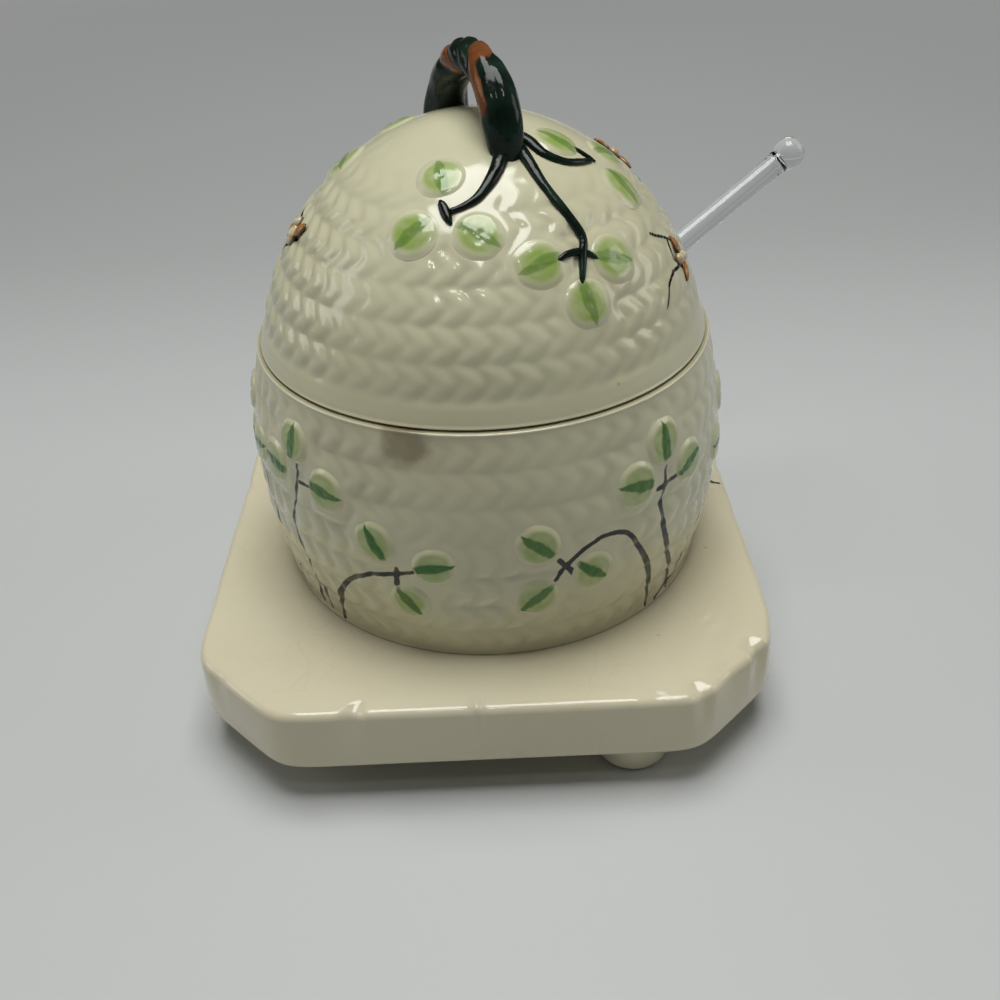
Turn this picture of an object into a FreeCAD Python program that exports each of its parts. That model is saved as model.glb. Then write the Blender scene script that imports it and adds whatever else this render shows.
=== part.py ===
import FreeCAD, Part
import math
import os

import Sketcher

# Honey pot shaped like a straw beehive on a square stand: a roped pot luted to its footed
# stand, a roped dome lid with a branch handle, and a glass dipper leaning out of a notch
# in the lid's rim. +Z is up, the origin lies on the pot's axis in the plane the feet stand
# on, and -Y is the front. Lengths are in millimetres, angles in degrees.

SIZES = (
    ("foot_height", 8.5),
    ("foot_top_radius", 8.0),
    ("foot_base_radius", 7.4),
    ("foot_round", 1.6),
    ("foot_inset", 2.8),
    ("foot_azimuth", -59.0),
    ("plate_width", 118.0),
    ("plate_depth", 121.6),
    ("plate_thickness", 14.5),
    ("plate_corner_cut", 18.0),
    ("plate_rim_round", 2.6),
    ("plate_under_round", 2.0),
    ("plate_shift", -2.0),
    ("pot_height", 51.4),
    ("pot_radius", 49.6),
    ("pot_base_inset", 4.2),
    ("pot_belly_share", 0.477),
    ("pot_shoulder_inset", 3.4),
    ("pot_lip", 4.8),
    ("pot_wall", 4.2),
    ("pot_floor", 4.0),
    ("pot_rows", 7),
    ("row_depth", 0.7),
    ("seam_gap", 0.3),
    ("lid_rim_inset", 1.2),
    ("lid_haunch_share", 0.773),
    ("lid_haunch_level_share", 0.566),
    ("lid_height", 42.4),
    ("lid_wall", 3.8),
    ("lid_rim_band", 4.6),
    ("lid_plain_crown", 16.0),
    ("lid_rows", 7),
    ("flange_depth", 4.0),
    ("flange_wall", 2.4),
    ("flange_clearance", 0.6),
    ("handle_span_share", 0.631),
    ("handle_radius", 3.3),
    ("handle_root_radius", 4.4),
    ("handle_rise", 9.4),
    ("handle_azimuth", 113.0),
    ("handle_shift", -1.05),
    ("leaf_share", 0.0847),
    ("leaf_rise_share", 0.261835),
    ("leaf_overlap_share", 0.38),
    ("leaf_fan", 105.0),
    ("heart_share", 1.095),
    ("heart_rise_share", 0.217381),
    ("twig_clearance", 0.6),
    ("bee_length_share", 0.129),
    ("bee_body_share", 0.328),
    ("bee_wing_share", 0.406),
    ("bee_rise_share", 0.156289),
    ("dipper_azimuth", 25.0),
    ("dipper_slope", 28.5),
    ("dipper_reach", 40.5),
    ("rod_radius", 2.35),
    ("knob_radius", 3.45),
    ("bulb_radius", 4.8),
    ("dipper_clearance", 0.3),
    ("notch_clearance", 1.6),
)

# Sizes that follow others: the sprigs keep their share of the pot, and the handle of the lid.
FOLLOWING_SIZES = (
    ("handle_span", "=(pot_radius - pot_shoulder_inset - lid_rim_inset) * handle_span_share"),
    ("leaf_radius", "=pot_radius * leaf_share"),
    ("leaf_rise", "=leaf_radius * leaf_rise_share"),
    ("leaf_overlap", "=leaf_radius * leaf_overlap_share"),
    ("heart_radius", "=leaf_radius * heart_share"),
    ("heart_rise", "=heart_radius * heart_rise_share"),
    ("bee_length", "=pot_radius * bee_length_share"),
    ("bee_body_radius", "=bee_length * bee_body_share"),
    ("bee_wing_radius", "=bee_length * bee_wing_share"),
    ("bee_rise", "=bee_length * bee_rise_share"),
)

# Clover sprigs on the pot: azimuth, share of the way up the wall to the stalk's joint, and
# the way the middle leaf points, counted from level towards the right and up.
POT_CLOVERS = {
    "pot_clover_front_left_high": (-138.5, 0.671, 90.0),
    "pot_clover_front_left_low": (-111.6, 0.410, 22.0),
    "pot_clover_front_right_low": (-73.9, 0.433, -134.0),
    "pot_clover_front_right_high": (-47.8, 0.638, 88.0),
    "pot_clover_right": (-9.5, 0.556, 75.0),
    "pot_clover_back_right_high": (41.5, 0.671, 90.0),
    "pot_clover_back_right_low": (68.4, 0.410, 22.0),
    "pot_clover_back_left_low": (106.1, 0.433, -134.0),
    "pot_clover_back_left_high": (132.2, 0.638, 88.0),
    "pot_clover_left": (-168.0, 0.671, 105.0),
}

# Clover sprigs on the lid: azimuth, share of the way down from the crown to the rim, and
# the way the middle leaf points.
LID_CLOVERS = {
    "lid_clover_front": (-103.2, 0.420, 211.0),
    "lid_clover_front_right": (-60.5, 0.584, -88.0),
    "lid_clover_right": (-19.1, 0.363, -8.0),
    "lid_clover_back": (76.8, 0.420, 211.0),
    "lid_clover_back_left": (119.5, 0.584, -88.0),
    "lid_clover_left": (160.9, 0.363, -8.0),
}

# Bees on the lid: azimuth, share of the way down from the crown, and heading.
LID_BEES = {
    "bee_right": (-19.0, 0.703, 70.0),
    "bee_upper_right": (16.5, 0.469, 150.0),
    "bee_left": (-166.0, 0.613, 110.0),
}

# Twigs raised on the dome, from the handle's front root to a sprig's heart: the sprig, the
# way the twig leaves the root, the way it lies from the heart, its sideways bow as a share
# of its length, and its radius at root and tip as shares of the handle's.
TWIGS = {
    "twig_front": ("lid_clover_front", -130.0, 34.0, -0.06, 0.50, 0.18),
    "twig_front_right": ("lid_clover_front_right", -80.0, 67.0, 0.06, 0.42, 0.18),
    "twig_right": ("lid_clover_right", -36.0, 150.0, -0.04, 0.38, 0.16),
}

FOOT_NAMES = ("foot_front", "foot_right", "foot_back", "foot_left")
FULL_TURN = 360.0
HALF_TURN = FULL_TURN / 2
QUARTER_TURN = FULL_TURN / 4
ARCH_OVERRUN = 15.0     # degrees that the handle's arch runs on into each root
WING_SPREAD = 70.0      # degrees between a bee's head and each wing
SPRIG_ROOT = 0.2        # share of a sprig's radius that is set below the grooves
TWIG_RINGS = 5
BISECTIONS = 40
AXIS_FOOT = FreeCAD.Vector(0, 0, 0)
UP = FreeCAD.Vector(0, 0, 1)

doc = FreeCAD.newDocument("honey_pot")
sheet = doc.addObject("Spreadsheet::Sheet", "Sizes")
for row, (alias, value) in enumerate(SIZES + FOLLOWING_SIZES, start=1):
    sheet.set(f"A{row}", alias)
    sheet.set(f"B{row}", str(value))
    sheet.setAlias(f"B{row}", alias)
doc.recompute()

NODES = []


def size(alias):
    """Read one driving size from the sheet."""
    return float(sheet.get(alias))


def bind(obj, **formulas):
    """Tie properties of an object to the sheet; a double underscore stands for a dot."""
    for path, formula in formulas.items():
        obj.setExpression(path.replace("__", "."), formula)


def node(obj, label):
    """Name a finished sub-part, which also names its file."""
    obj.Label = label
    NODES.append(obj)
    return obj


def feature(kind, name, **formulas):
    """Add a primitive whose sizes follow the sheet."""
    obj = doc.addObject(kind, name)
    bind(obj, **formulas)
    return obj


def solid(name, shape):
    """Hold a shape that no primitive gives, such as a turned outline of many rows."""
    obj = doc.addObject("Part::Feature", name)
    obj.Shape = shape
    return obj


def cut(base, tool, name):
    obj = doc.addObject("Part::Cut", name)
    obj.Base = base
    obj.Tool = tool
    return obj


def fuse(pieces, name):
    obj = doc.addObject("Part::MultiFuse", name)
    obj.Shapes = pieces
    return obj


def origin_plane(body, role):
    return next(item for item in body.Origin.OriginFeatures if item.Role == role)


def sketch_on(body, role, name):
    sketch = body.newObject("Sketcher::SketchObject", name)
    sketch.AttachmentSupport = [(origin_plane(body, role), "")]
    sketch.MapMode = "FlatFace"
    return sketch


def constrain(sketch, name, formula, *details):
    """Add a dimension to a sketch and tie it to the sheet."""
    index = sketch.addConstraint(Sketcher.Constraint(*details, 1.0))
    sketch.renameConstraint(index, name)
    sketch.setExpression(f"Constraints.{name}", formula)


def closed_polygon(sketch, corners):
    """Add straight sides through the corners and join their ends."""
    count = len(corners)
    for start, end in zip(corners, corners[1:] + corners[:1]):
        side = Part.LineSegment(FreeCAD.Vector(*start, 0), FreeCAD.Vector(*end, 0))
        sketch.addGeometry(side, False)
    for index in range(count):
        sketch.addConstraint(Sketcher.Constraint("Coincident", index, 2, (index + 1) % count, 1))


def section_point(radius, height):
    """A point of a turned outline."""
    return FreeCAD.Vector(radius, 0, height)


def polar(radius, azimuth, height):
    """A point at an azimuth about the pot's axis."""
    turn = math.radians(azimuth)
    return FreeCAD.Vector(radius * math.cos(turn), radius * math.sin(turn), height)


def line(start, end):
    return Part.LineSegment(start, end).toShape()


def arc(start, middle, end):
    return Part.Arc(start, middle, end).toShape()


def turned(edges):
    """Turn a closed outline about the pot's axis."""
    return Part.Face(Part.Wire(edges)).revolve(AXIS_FOOT, UP, FULL_TURN)


class Outline:
    """A smooth turned outline, walked by its length."""

    def __init__(self, edge):
        self.edge = edge
        self.length = edge.Length

    def at(self, distance, sink=0.0):
        """The point at a distance along the outline, sunk below its surface."""
        return self.edge.valueAt(self.where(distance)) - self.outward(distance) * sink

    def where(self, distance):
        """The edge's parameter at a distance, kept on the edge where a sum rounds past its end."""
        return self.edge.getParameterByLength(min(distance, self.length))

    def outward(self, distance):
        """The outward normal in the outline's plane, for an outline that runs upwards."""
        along = self.edge.tangentAt(self.where(distance))
        return FreeCAD.Vector(along.z, 0, -along.x).normalize()

    def frame(self, azimuth, distance):
        """The surface point there, with its level tangent, up-slope tangent and normal."""
        turn = FreeCAD.Rotation(UP, azimuth)
        normal = turn.multVec(self.outward(distance))
        level = turn.multVec(FreeCAD.Vector(0, 1, 0))
        return turn.multVec(self.at(distance)), level, normal.cross(level), normal

    def at_radius(self, radius):
        """The distance along an outline that narrows upwards, where it has a radius."""
        low = 0.0
        high = self.length
        for _ in range(BISECTIONS):
            middle = (low + high) / 2
            if self.at(middle).x > radius:
                low = middle
            else:
                high = middle
        return low

    def plain(self, start, stop):
        """The stretch between two distances, as a spline that turns soundly up to the axis."""
        bare = self.edge.Curve.trim(self.where(start), self.where(stop))
        return bare.toBSpline().toShape()

    def roped(self, start, stop, rows, depth):
        """Bulging rows between two distances, with grooves between them."""
        step = (stop - start) / rows
        edges = []
        for index in range(rows):
            low = start + index * step
            low_sink = depth if index else 0.0
            high_sink = depth if index < rows - 1 else 0.0
            low_point = self.at(low, low_sink)
            high_point = self.at(low + step, high_sink)
            edges.append(arc(low_point, self.at(low + step / 2), high_point))
        return edges


def stand_plate():
    """Square plate with cut corners and soft rounded edges."""
    body = doc.addObject("PartDesign::Body", "stand_plate_body")
    sketch = sketch_on(body, "XY_Plane", "plate_outline")
    half_width = size("plate_width") / 2
    half_depth = size("plate_depth") / 2
    closed_polygon(sketch, [(-half_width, -half_depth), (half_width, -half_depth),
                            (half_width, half_depth), (-half_width, half_depth)])
    for side in (0, 2):
        sketch.addConstraint(Sketcher.Constraint("Horizontal", side))
    for side in (1, 3):
        sketch.addConstraint(Sketcher.Constraint("Vertical", side))
    sketch.addConstraint(Sketcher.Constraint("Symmetric", 0, 1, 2, 1, -1, 1))
    constrain(sketch, "width", "Sizes.plate_width", "DistanceX", 0, 1, 0, 2)
    constrain(sketch, "depth", "Sizes.plate_depth", "DistanceY", 1, 1, 1, 2)
    slab = body.newObject("PartDesign::Pad", "plate_slab")
    slab.Profile = sketch
    bind(slab, Length="Sizes.plate_thickness")
    doc.recompute()
    corners = body.newObject("PartDesign::Chamfer", "plate_corners")
    corners.Base = (slab, edge_names(slab.Shape, lambda box: box.ZLength > box.XLength + box.YLength))
    bind(corners, Size="Sizes.plate_corner_cut")
    doc.recompute()
    middle = size("plate_thickness") / 2
    rim = body.newObject("PartDesign::Fillet", "plate_rim")
    rim.Base = (corners, edge_names(corners.Shape, lambda box: box.ZMin > middle))
    bind(rim, Radius="Sizes.plate_rim_round")
    doc.recompute()
    under = body.newObject("PartDesign::Fillet", "plate_under_edge")
    under.Base = (rim, edge_names(rim.Shape, lambda box: box.ZMax < middle))
    bind(under, Radius="Sizes.plate_under_round")
    bind(body, Placement__Base__x="Sizes.plate_shift", Placement__Base__z="Sizes.foot_height")
    return node(body, "stand_plate")


def edge_names(shape, wanted):
    """Names of the edges whose bounding box is wanted."""
    numbered = enumerate(shape.Edges, start=1)
    return [f"Edge{index}" for index, edge in numbered if wanted(edge.BoundBox)]


def feet():
    """Four short turned feet, a quarter turn apart, under the plate."""
    for index, name in enumerate(FOOT_NAMES):
        body = doc.addObject("PartDesign::Body", f"{name}_body")
        sketch = sketch_on(body, "XZ_Plane", f"{name}_outline")
        height = size("foot_height")
        closed_polygon(sketch, [(0, 0), (size("foot_base_radius"), 0),
                                (size("foot_top_radius"), height), (0, height)])
        sketch.addConstraint(Sketcher.Constraint("Coincident", 0, 1, -1, 1))
        sketch.addConstraint(Sketcher.Constraint("Horizontal", 0))
        sketch.addConstraint(Sketcher.Constraint("Horizontal", 2))
        sketch.addConstraint(Sketcher.Constraint("Vertical", 3))
        constrain(sketch, "base_radius", "Sizes.foot_base_radius", "DistanceX", 0, 1, 0, 2)
        constrain(sketch, "top_radius", "Sizes.foot_top_radius", "DistanceX", 2, 2, 2, 1)
        constrain(sketch, "height", "Sizes.foot_height", "DistanceY", 3, 2, 3, 1)
        peg = body.newObject("PartDesign::Revolution", f"{name}_peg")
        peg.Profile = sketch
        peg.ReferenceAxis = (sketch, ["V_Axis"])
        peg.Angle = FULL_TURN
        doc.recompute()
        soft = body.newObject("PartDesign::Fillet", f"{name}_soft_edge")
        level = size("foot_round") / 2
        soft.Base = (peg, edge_names(peg.Shape, lambda box: box.ZMax < level and box.XLength > level))
        bind(soft, Radius="Sizes.foot_round")
        turn = f"(Sizes.foot_azimuth + {index * QUARTER_TURN}) * 1 deg"
        across = "(Sizes.plate_width / 2 - Sizes.foot_inset)"
        along = "(Sizes.plate_depth / 2 - Sizes.foot_inset)"
        bind(body, Placement__Base__x=f"Sizes.plate_shift + {across} * cos({turn})",
             Placement__Base__y=f"{along} * sin({turn})")
        node(body, name)


def pot_outlines():
    """The pot's outer and inner outlines, from its base up to the seam."""
    base = size("foot_height") + size("plate_thickness")
    belly = base + size("pot_height") * size("pot_belly_share")
    seam = base + size("pot_height")
    radius = size("pot_radius")
    base_radius = radius - size("pot_base_inset")
    wall = size("pot_wall")
    outer = Outline(arc(section_point(base_radius, base), section_point(radius, belly),
                        section_point(shoulder_radius(), seam)))
    inner = Outline(arc(section_point(base_radius - wall, base + size("pot_floor")),
                        section_point(radius - wall, belly),
                        section_point(mouth_radius(), seam)))
    return outer, inner


def shoulder_radius():
    """Outer radius of the pot at the seam."""
    return size("pot_radius") - size("pot_shoulder_inset")


def mouth_radius():
    """Inner radius of the pot at the seam."""
    return shoulder_radius() - size("pot_lip")


def rim_radius():
    """Outer radius of the lid at the seam."""
    return shoulder_radius() - size("lid_rim_inset")


def pot(outer, inner):
    """The roped pot: a turned solid, hollowed from its mouth."""
    foot = outer.at(0)
    lip = outer.at(outer.length)
    centre_low = section_point(0, foot.z)
    centre_high = section_point(0, lip.z)
    rows = outer.roped(0, outer.length, round(size("pot_rows")), size("row_depth"))
    core = solid("pot_core", turned([line(centre_low, foot), *rows, line(lip, centre_high),
                                     line(centre_high, centre_low)]))
    floor_edge = inner.at(0)
    mouth = inner.at(inner.length)
    floor_centre = section_point(0, floor_edge.z)
    cavity = solid("pot_cavity", turned([line(floor_centre, floor_edge), inner.edge,
                                         line(mouth, centre_high), line(centre_high, floor_centre)]))
    node(cut(core, cavity, "pot_shell"), "pot_wall")
    return core


def lid_outlines():
    """The lid's outer and inner outlines, from its rim up to the crown."""
    rim = size("foot_height") + size("plate_thickness") + size("pot_height") + size("seam_gap")
    crown = rim + size("lid_height")
    haunch_radius = rim_radius() * size("lid_haunch_share")
    haunch_level = rim + size("lid_height") * size("lid_haunch_level_share")
    outer = Outline(arc(section_point(rim_radius(), rim), section_point(haunch_radius, haunch_level),
                        section_point(0, crown)))
    wall = size("lid_wall")
    haunch = outer.at(outer.length / 2, wall)
    flange_inner = flange_radius() - size("flange_wall")
    inner = Outline(arc(section_point(flange_inner, rim + size("lid_rim_band")), haunch,
                        section_point(0, crown - wall)))
    return outer, inner


def flange_radius():
    """Outer radius of the ring that locates the lid in the pot's mouth."""
    return mouth_radius() - size("flange_clearance")


def lid(outer, inner, notch):
    """The roped dome with its locating flange, notched for the dipper."""
    rim = outer.at(0)
    crown = outer.at(outer.length)
    rim_centre = section_point(0, rim.z)
    flange_outer = section_point(flange_radius(), rim.z)
    flange_foot = flange_outer - UP * size("flange_depth")
    foot_centre = section_point(0, flange_foot.z)
    band_top = size("lid_rim_band")
    rows_top = outer.length - size("lid_plain_crown")
    skin = [outer.plain(0, band_top),
            *outer.roped(band_top, rows_top, round(size("lid_rows")), size("row_depth")),
            outer.plain(rows_top, outer.length)]
    core = solid("lid_core", turned([line(rim_centre, rim), *skin, line(crown, rim_centre)]))
    block = solid("lid_block", turned([line(foot_centre, flange_foot), line(flange_foot, flange_outer),
                                       line(flange_outer, rim), *skin, line(crown, foot_centre)]))
    spring = inner.at(0)
    ceiling = inner.at(inner.length)
    mouth = section_point(spring.x, foot_centre.z)
    cavity = solid("lid_cavity", turned([line(foot_centre, mouth), line(mouth, spring),
                                         inner.plain(0, inner.length), line(ceiling, foot_centre)]))
    hollow = fuse([cavity, *notch], "lid_hollow")
    node(cut(block, hollow, "lid_shell"), "lid_dome")
    return core


def raised_cap(name, outline, azimuth, distance, radius, rise):
    """A low spherical swelling of a named radius and rise, set deeper than the grooves under it."""
    ball = f"(Sizes.{radius}^2 + Sizes.{rise}^2) / (2 * Sizes.{rise})"
    sink = f"(Sizes.row_depth + Sizes.{radius} * {SPRIG_ROOT})"
    below = f"asin(1 - (Sizes.{rise} + {sink}) / ({ball}))"
    cap = feature("Part::Sphere", name, Radius=ball, Angle1=below)
    point, level, upslope, normal = outline.frame(azimuth, distance)
    ball_radius = (size(radius) ** 2 + size(rise) ** 2) / (2 * size(rise))
    centre = point + normal * (size(rise) - ball_radius)
    cap.Placement = FreeCAD.Placement(centre, FreeCAD.Rotation(level, upslope, normal, "ZXY"))
    return cap


def walked(outline, azimuth, distance, heading, step):
    """The azimuth and distance reached by walking over a turned surface."""
    turn = math.radians(heading)
    reached = distance + step * math.sin(turn)
    girth = (outline.at(distance).x + outline.at(reached).x) / 2
    return azimuth + math.degrees(step * math.cos(turn) / girth), reached


def clover(name, outline, core, azimuth, distance, heading):
    """Three round leaves about a small heart, raised on a turned surface."""
    caps = [raised_cap(f"{name}_heart", outline, azimuth, distance, "heart_radius", "heart_rise")]
    spread = size("leaf_radius") + size("heart_radius") - size("leaf_overlap")
    for index, side in enumerate((-1, 0, 1)):
        way = heading + side * size("leaf_fan")
        spot = walked(outline, azimuth, distance, way, spread)
        caps.append(raised_cap(f"{name}_leaf_{index}", outline, *spot, "leaf_radius", "leaf_rise"))
    node(cut(fuse(caps, f"{name}_leaves"), core, f"{name}_sprig"), name)


def bee(name, outline, core, azimuth, distance, heading):
    """A bee in low relief: a body of two swellings between spread wings."""
    half_body = size("bee_length") / 4
    spots = [(heading, half_body, "bee_body_radius"),
             (heading + HALF_TURN, half_body, "bee_body_radius"),
             (heading + WING_SPREAD, half_body * 2, "bee_wing_radius"),
             (heading - WING_SPREAD, half_body * 2, "bee_wing_radius")]
    caps = []
    for index, (way, step, radius) in enumerate(spots):
        spot = walked(outline, azimuth, distance, way, step)
        caps.append(raised_cap(f"{name}_part_{index}", outline, *spot, radius, "bee_rise"))
    node(cut(fuse(caps, f"{name}_parts"), core, f"{name}_sprig"), name)


def handle(outline, core):
    """An arched branch over the crown, swelling where it roots on the dome."""
    arch = feature("Part::Torus", "handle_arch", Radius1="Sizes.handle_span / 2",
                   Radius2="Sizes.handle_radius")
    arch.Angle3 = HALF_TURN + 2 * ARCH_OVERRUN
    crown = outline.at(outline.length)
    along = polar(1, size("handle_azimuth"), 0)
    reach = size("handle_span") / 2
    middle = along * size("handle_shift")
    centre = middle + UP * (crown.z + size("handle_rise") - reach)
    across = UP.cross(along)
    upright = FreeCAD.Rotation(along, UP, across * -1, "ZXY")
    arch.Placement = FreeCAD.Placement(centre, upright.multiply(FreeCAD.Rotation(UP, -ARCH_OVERRUN)))
    roots = []
    for name, way in (("back", 1), ("front", -1)):
        foot = middle + along * (way * reach)
        root = feature("Part::Sphere", f"handle_root_{name}", Radius="Sizes.handle_root_radius")
        spot = outline.at_radius(math.hypot(foot.x, foot.y))
        root.Placement.Base = foot + UP * outline.at(spot).z
        roots.append(root)
    node(cut(fuse([arch, *roots], "handle_branch"), core, "handle_on_dome"), "handle")


def front_root(outline):
    """Azimuth and distance along the dome of the handle's front root."""
    radius = size("handle_span") / 2 - size("handle_shift")
    return size("handle_azimuth") - HALF_TURN, outline.at_radius(radius)


def heart_reach():
    """Radius of a sprig's heart at the bottom of the grooves, where it is widest."""
    rise = size("heart_rise")
    ball = (size("heart_radius") ** 2 + rise ** 2) / (2 * rise)
    return math.sqrt(ball ** 2 - (ball - rise - size("row_depth")) ** 2)


def twig(name, outline, core):
    """A tapering twig that follows the dome from the handle's root to a sprig."""
    sprig, leaving, arriving, bow, root, tip = TWIGS[name]
    azimuth, down, _ = LID_CLOVERS[sprig]
    from_root = size("handle_root_radius") + size("twig_clearance")
    first = walked(outline, *front_root(outline), leaving, from_root)
    from_heart = heart_reach() + size("twig_clearance")
    last = walked(outline, azimuth, outline.length * (1 - down), arriving, from_heart)
    start = outline.frame(*first)[0]
    stop = outline.frame(*last)[0]
    halfway = ((first[0] + last[0]) / 2, (first[1] + last[1]) / 2)
    bowed = walked(outline, *halfway, 0, bow * start.distanceToPoint(stop))
    path = Part.BSplineCurve()
    path.interpolate([start, outline.frame(*bowed)[0], stop])
    edge = path.toShape()
    rings = []
    for index in range(TWIG_RINGS):
        share = index / (TWIG_RINGS - 1)
        where = edge.getParameterByLength(edge.Length * share)
        radius = size("handle_radius") * (root + (tip - root) * share)
        rings.append(Part.Wire(Part.makeCircle(radius, edge.valueAt(where), edge.tangentAt(where))))
    stem = solid(f"{name}_stem", Part.makeLoft(rings, True))
    node(cut(stem, core, f"{name}_on_dome"), name)


class DipperLine:
    """The dipper's slanting axis: it leans over the pot's inner lip in one upright plane."""

    def __init__(self, pot_inner):
        slope = math.radians(size("dipper_slope"))
        self.azimuth = size("dipper_azimuth")
        self.slope = slope
        mouth = pot_inner.at(pot_inner.length)
        lift = size("rod_radius") + size("dipper_clearance")
        self.radius = mouth.x - lift * math.sin(slope)
        self.height = mouth.z + lift * math.cos(slope)
        self.inner = pot_inner

    def at(self, distance):
        """A point at a distance along the axis, outwards and up from over the lip."""
        return polar(self.radius + distance * math.cos(self.slope), self.azimuth,
                     self.height + distance * math.sin(self.slope))

    def placement(self, distance):
        """A placement there with Z along the axis and X level across it."""
        way = self.at(1) - self.at(0)
        across = polar(1, self.azimuth + QUARTER_TURN, 0)
        turn = FreeCAD.Rotation(across, way.cross(across), way, "ZXY")
        return FreeCAD.Placement(self.at(distance), turn)

    def low_end(self):
        """Distance down to where the bulb meets the pot's far wall or floor, less a clearance."""
        bulb = size("bulb_radius") + size("dipper_clearance")
        circle = self.inner.edge.Curve
        room = circle.Radius - bulb
        across = self.radius + circle.Center.x
        above = self.height - circle.Center.z
        half = across * math.cos(self.slope) + above * math.sin(self.slope)
        to_wall = -half - math.sqrt(half ** 2 - (across ** 2 + above ** 2 - room ** 2))
        to_floor = (self.inner.at(0).z + bulb - self.height) / math.sin(self.slope)
        return max(to_wall, to_floor)


def notch_cutters(axis):
    """A slot open at the lid's rim, rounded over the rod, for the dipper to lean in."""
    width = "2 * (Sizes.rod_radius + Sizes.notch_clearance)"
    length = rim_radius() - flange_radius() + size("flange_wall") + size("lid_rim_band") * 2
    tunnel = feature("Part::Cylinder", "notch_tunnel", Radius="Sizes.rod_radius + Sizes.notch_clearance")
    tunnel.Height = 2 * length
    tunnel.Placement = axis.placement(-length)
    drop = size("flange_depth") + 2 * length
    gate = feature("Part::Box", "notch_gate", Length=width)
    gate.Width = drop
    gate.Height = 2 * length
    placed = axis.placement(-length)
    corner = FreeCAD.Vector(-(size("rod_radius") + size("notch_clearance")), -drop, 0)
    placed.Base = placed.multVec(corner)
    gate.Placement = placed
    return [tunnel, gate]


def dipper(axis):
    """A glass rod with a ball knob outside and a bulb inside the pot."""
    low = axis.low_end()
    high = size("dipper_reach")
    rod = feature("Part::Cylinder", "dipper_stem", Radius="Sizes.rod_radius")
    rod.Height = high - low
    rod.Placement = axis.placement(low)
    node(rod, "dipper_rod")
    for name, distance, radius in (("dipper_knob", high, "Sizes.knob_radius"),
                                   ("dipper_bulb", low, "Sizes.bulb_radius")):
        ball = feature("Part::Sphere", f"{name}_ball", Radius=radius)
        ball.Placement = axis.placement(distance)
        node(cut(ball, rod, f"{name}_on_rod"), name)


def build():
    stand_plate()
    feet()
    pot_outer, pot_inner = pot_outlines()
    pot_core = pot(pot_outer, pot_inner)
    for name, (azimuth, up, heading) in POT_CLOVERS.items():
        clover(name, pot_outer, pot_core, azimuth, pot_outer.length * up, heading)
    axis = DipperLine(pot_inner)
    lid_outer, lid_inner = lid_outlines()
    lid_core = lid(lid_outer, lid_inner, notch_cutters(axis))
    for name, (azimuth, down, heading) in LID_CLOVERS.items():
        clover(name, lid_outer, lid_core, azimuth, lid_outer.length * (1 - down), heading)
    for name, (azimuth, down, heading) in LID_BEES.items():
        bee(name, lid_outer, lid_core, azimuth, lid_outer.length * (1 - down), heading)
    handle(lid_outer, lid_core)
    for name in TWIGS:
        twig(name, lid_outer, lid_core)
    dipper(axis)


def check():
    """Stop if any object failed or any sub-part is not a sound solid."""
    doc.recompute()
    for obj in doc.Objects:
        if "Invalid" in obj.State or "Error" in obj.State:
            raise RuntimeError(f"{obj.Name} failed: {obj.State}")
    for obj in NODES:
        if obj.Shape.isNull() or not obj.Shape.isValid() or not obj.Shape.Solids:
            raise RuntimeError(f"{obj.Label} is not a sound solid")


def write():
    os.makedirs("parts", exist_ok=True)
    for obj in NODES:
        obj.Shape.exportStep(os.path.join("parts", f"{obj.Label}.step"))
        print(f"{obj.Label}: {len(obj.Shape.Solids)} solid, {obj.Shape.Volume:.1f} mm3")


build()
check()
write()
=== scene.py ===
import math

import bpy
import numpy as np
from bpy.props import FloatProperty, FloatVectorProperty, PointerProperty
from mathutils import Matrix, Vector


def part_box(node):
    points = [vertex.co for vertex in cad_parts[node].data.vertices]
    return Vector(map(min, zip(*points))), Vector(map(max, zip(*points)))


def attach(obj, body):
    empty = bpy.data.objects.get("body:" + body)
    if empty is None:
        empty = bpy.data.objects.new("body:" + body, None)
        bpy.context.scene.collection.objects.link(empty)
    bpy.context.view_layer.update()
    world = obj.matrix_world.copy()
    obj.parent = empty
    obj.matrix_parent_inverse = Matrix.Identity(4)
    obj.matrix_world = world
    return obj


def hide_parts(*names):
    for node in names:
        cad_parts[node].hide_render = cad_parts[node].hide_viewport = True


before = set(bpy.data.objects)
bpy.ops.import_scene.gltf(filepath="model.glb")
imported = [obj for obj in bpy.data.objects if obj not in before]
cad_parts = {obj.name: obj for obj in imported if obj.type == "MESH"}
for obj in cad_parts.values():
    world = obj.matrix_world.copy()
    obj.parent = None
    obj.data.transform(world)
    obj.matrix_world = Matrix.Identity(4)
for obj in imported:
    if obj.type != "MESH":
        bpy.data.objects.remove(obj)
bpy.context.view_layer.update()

bl_info = {
    "name": "Beehive honey pot",
    "version": (1, 0, 0),
    "blender": (4, 5, 0),
    "location": "3D View > Sidebar > Honey pot",
    "description": "Dresses the honey pot's solids with braided glaze, sprigs, a branch and a glass dipper",
    "category": "Object",
}

MM = 0.001
FULL_TURN = 2 * math.pi
COLUMNS = 560

# Limits of the painted distance to a brushed line and half the width of the plate's line, in
# millimetres.
FAR_FROM_INK, DEEP_IN_INK = 9.0, -3.0
CRACK_HALF_WIDTH = 0.42

# Underside of a relief below the wall's face, and the depth of the glaze's fine unevenness.
RELIEF_UNDERSIDE = -1.2 * MM
BUMP_DEPTH = 0.6 * MM


# Shape of the turned walls

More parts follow.
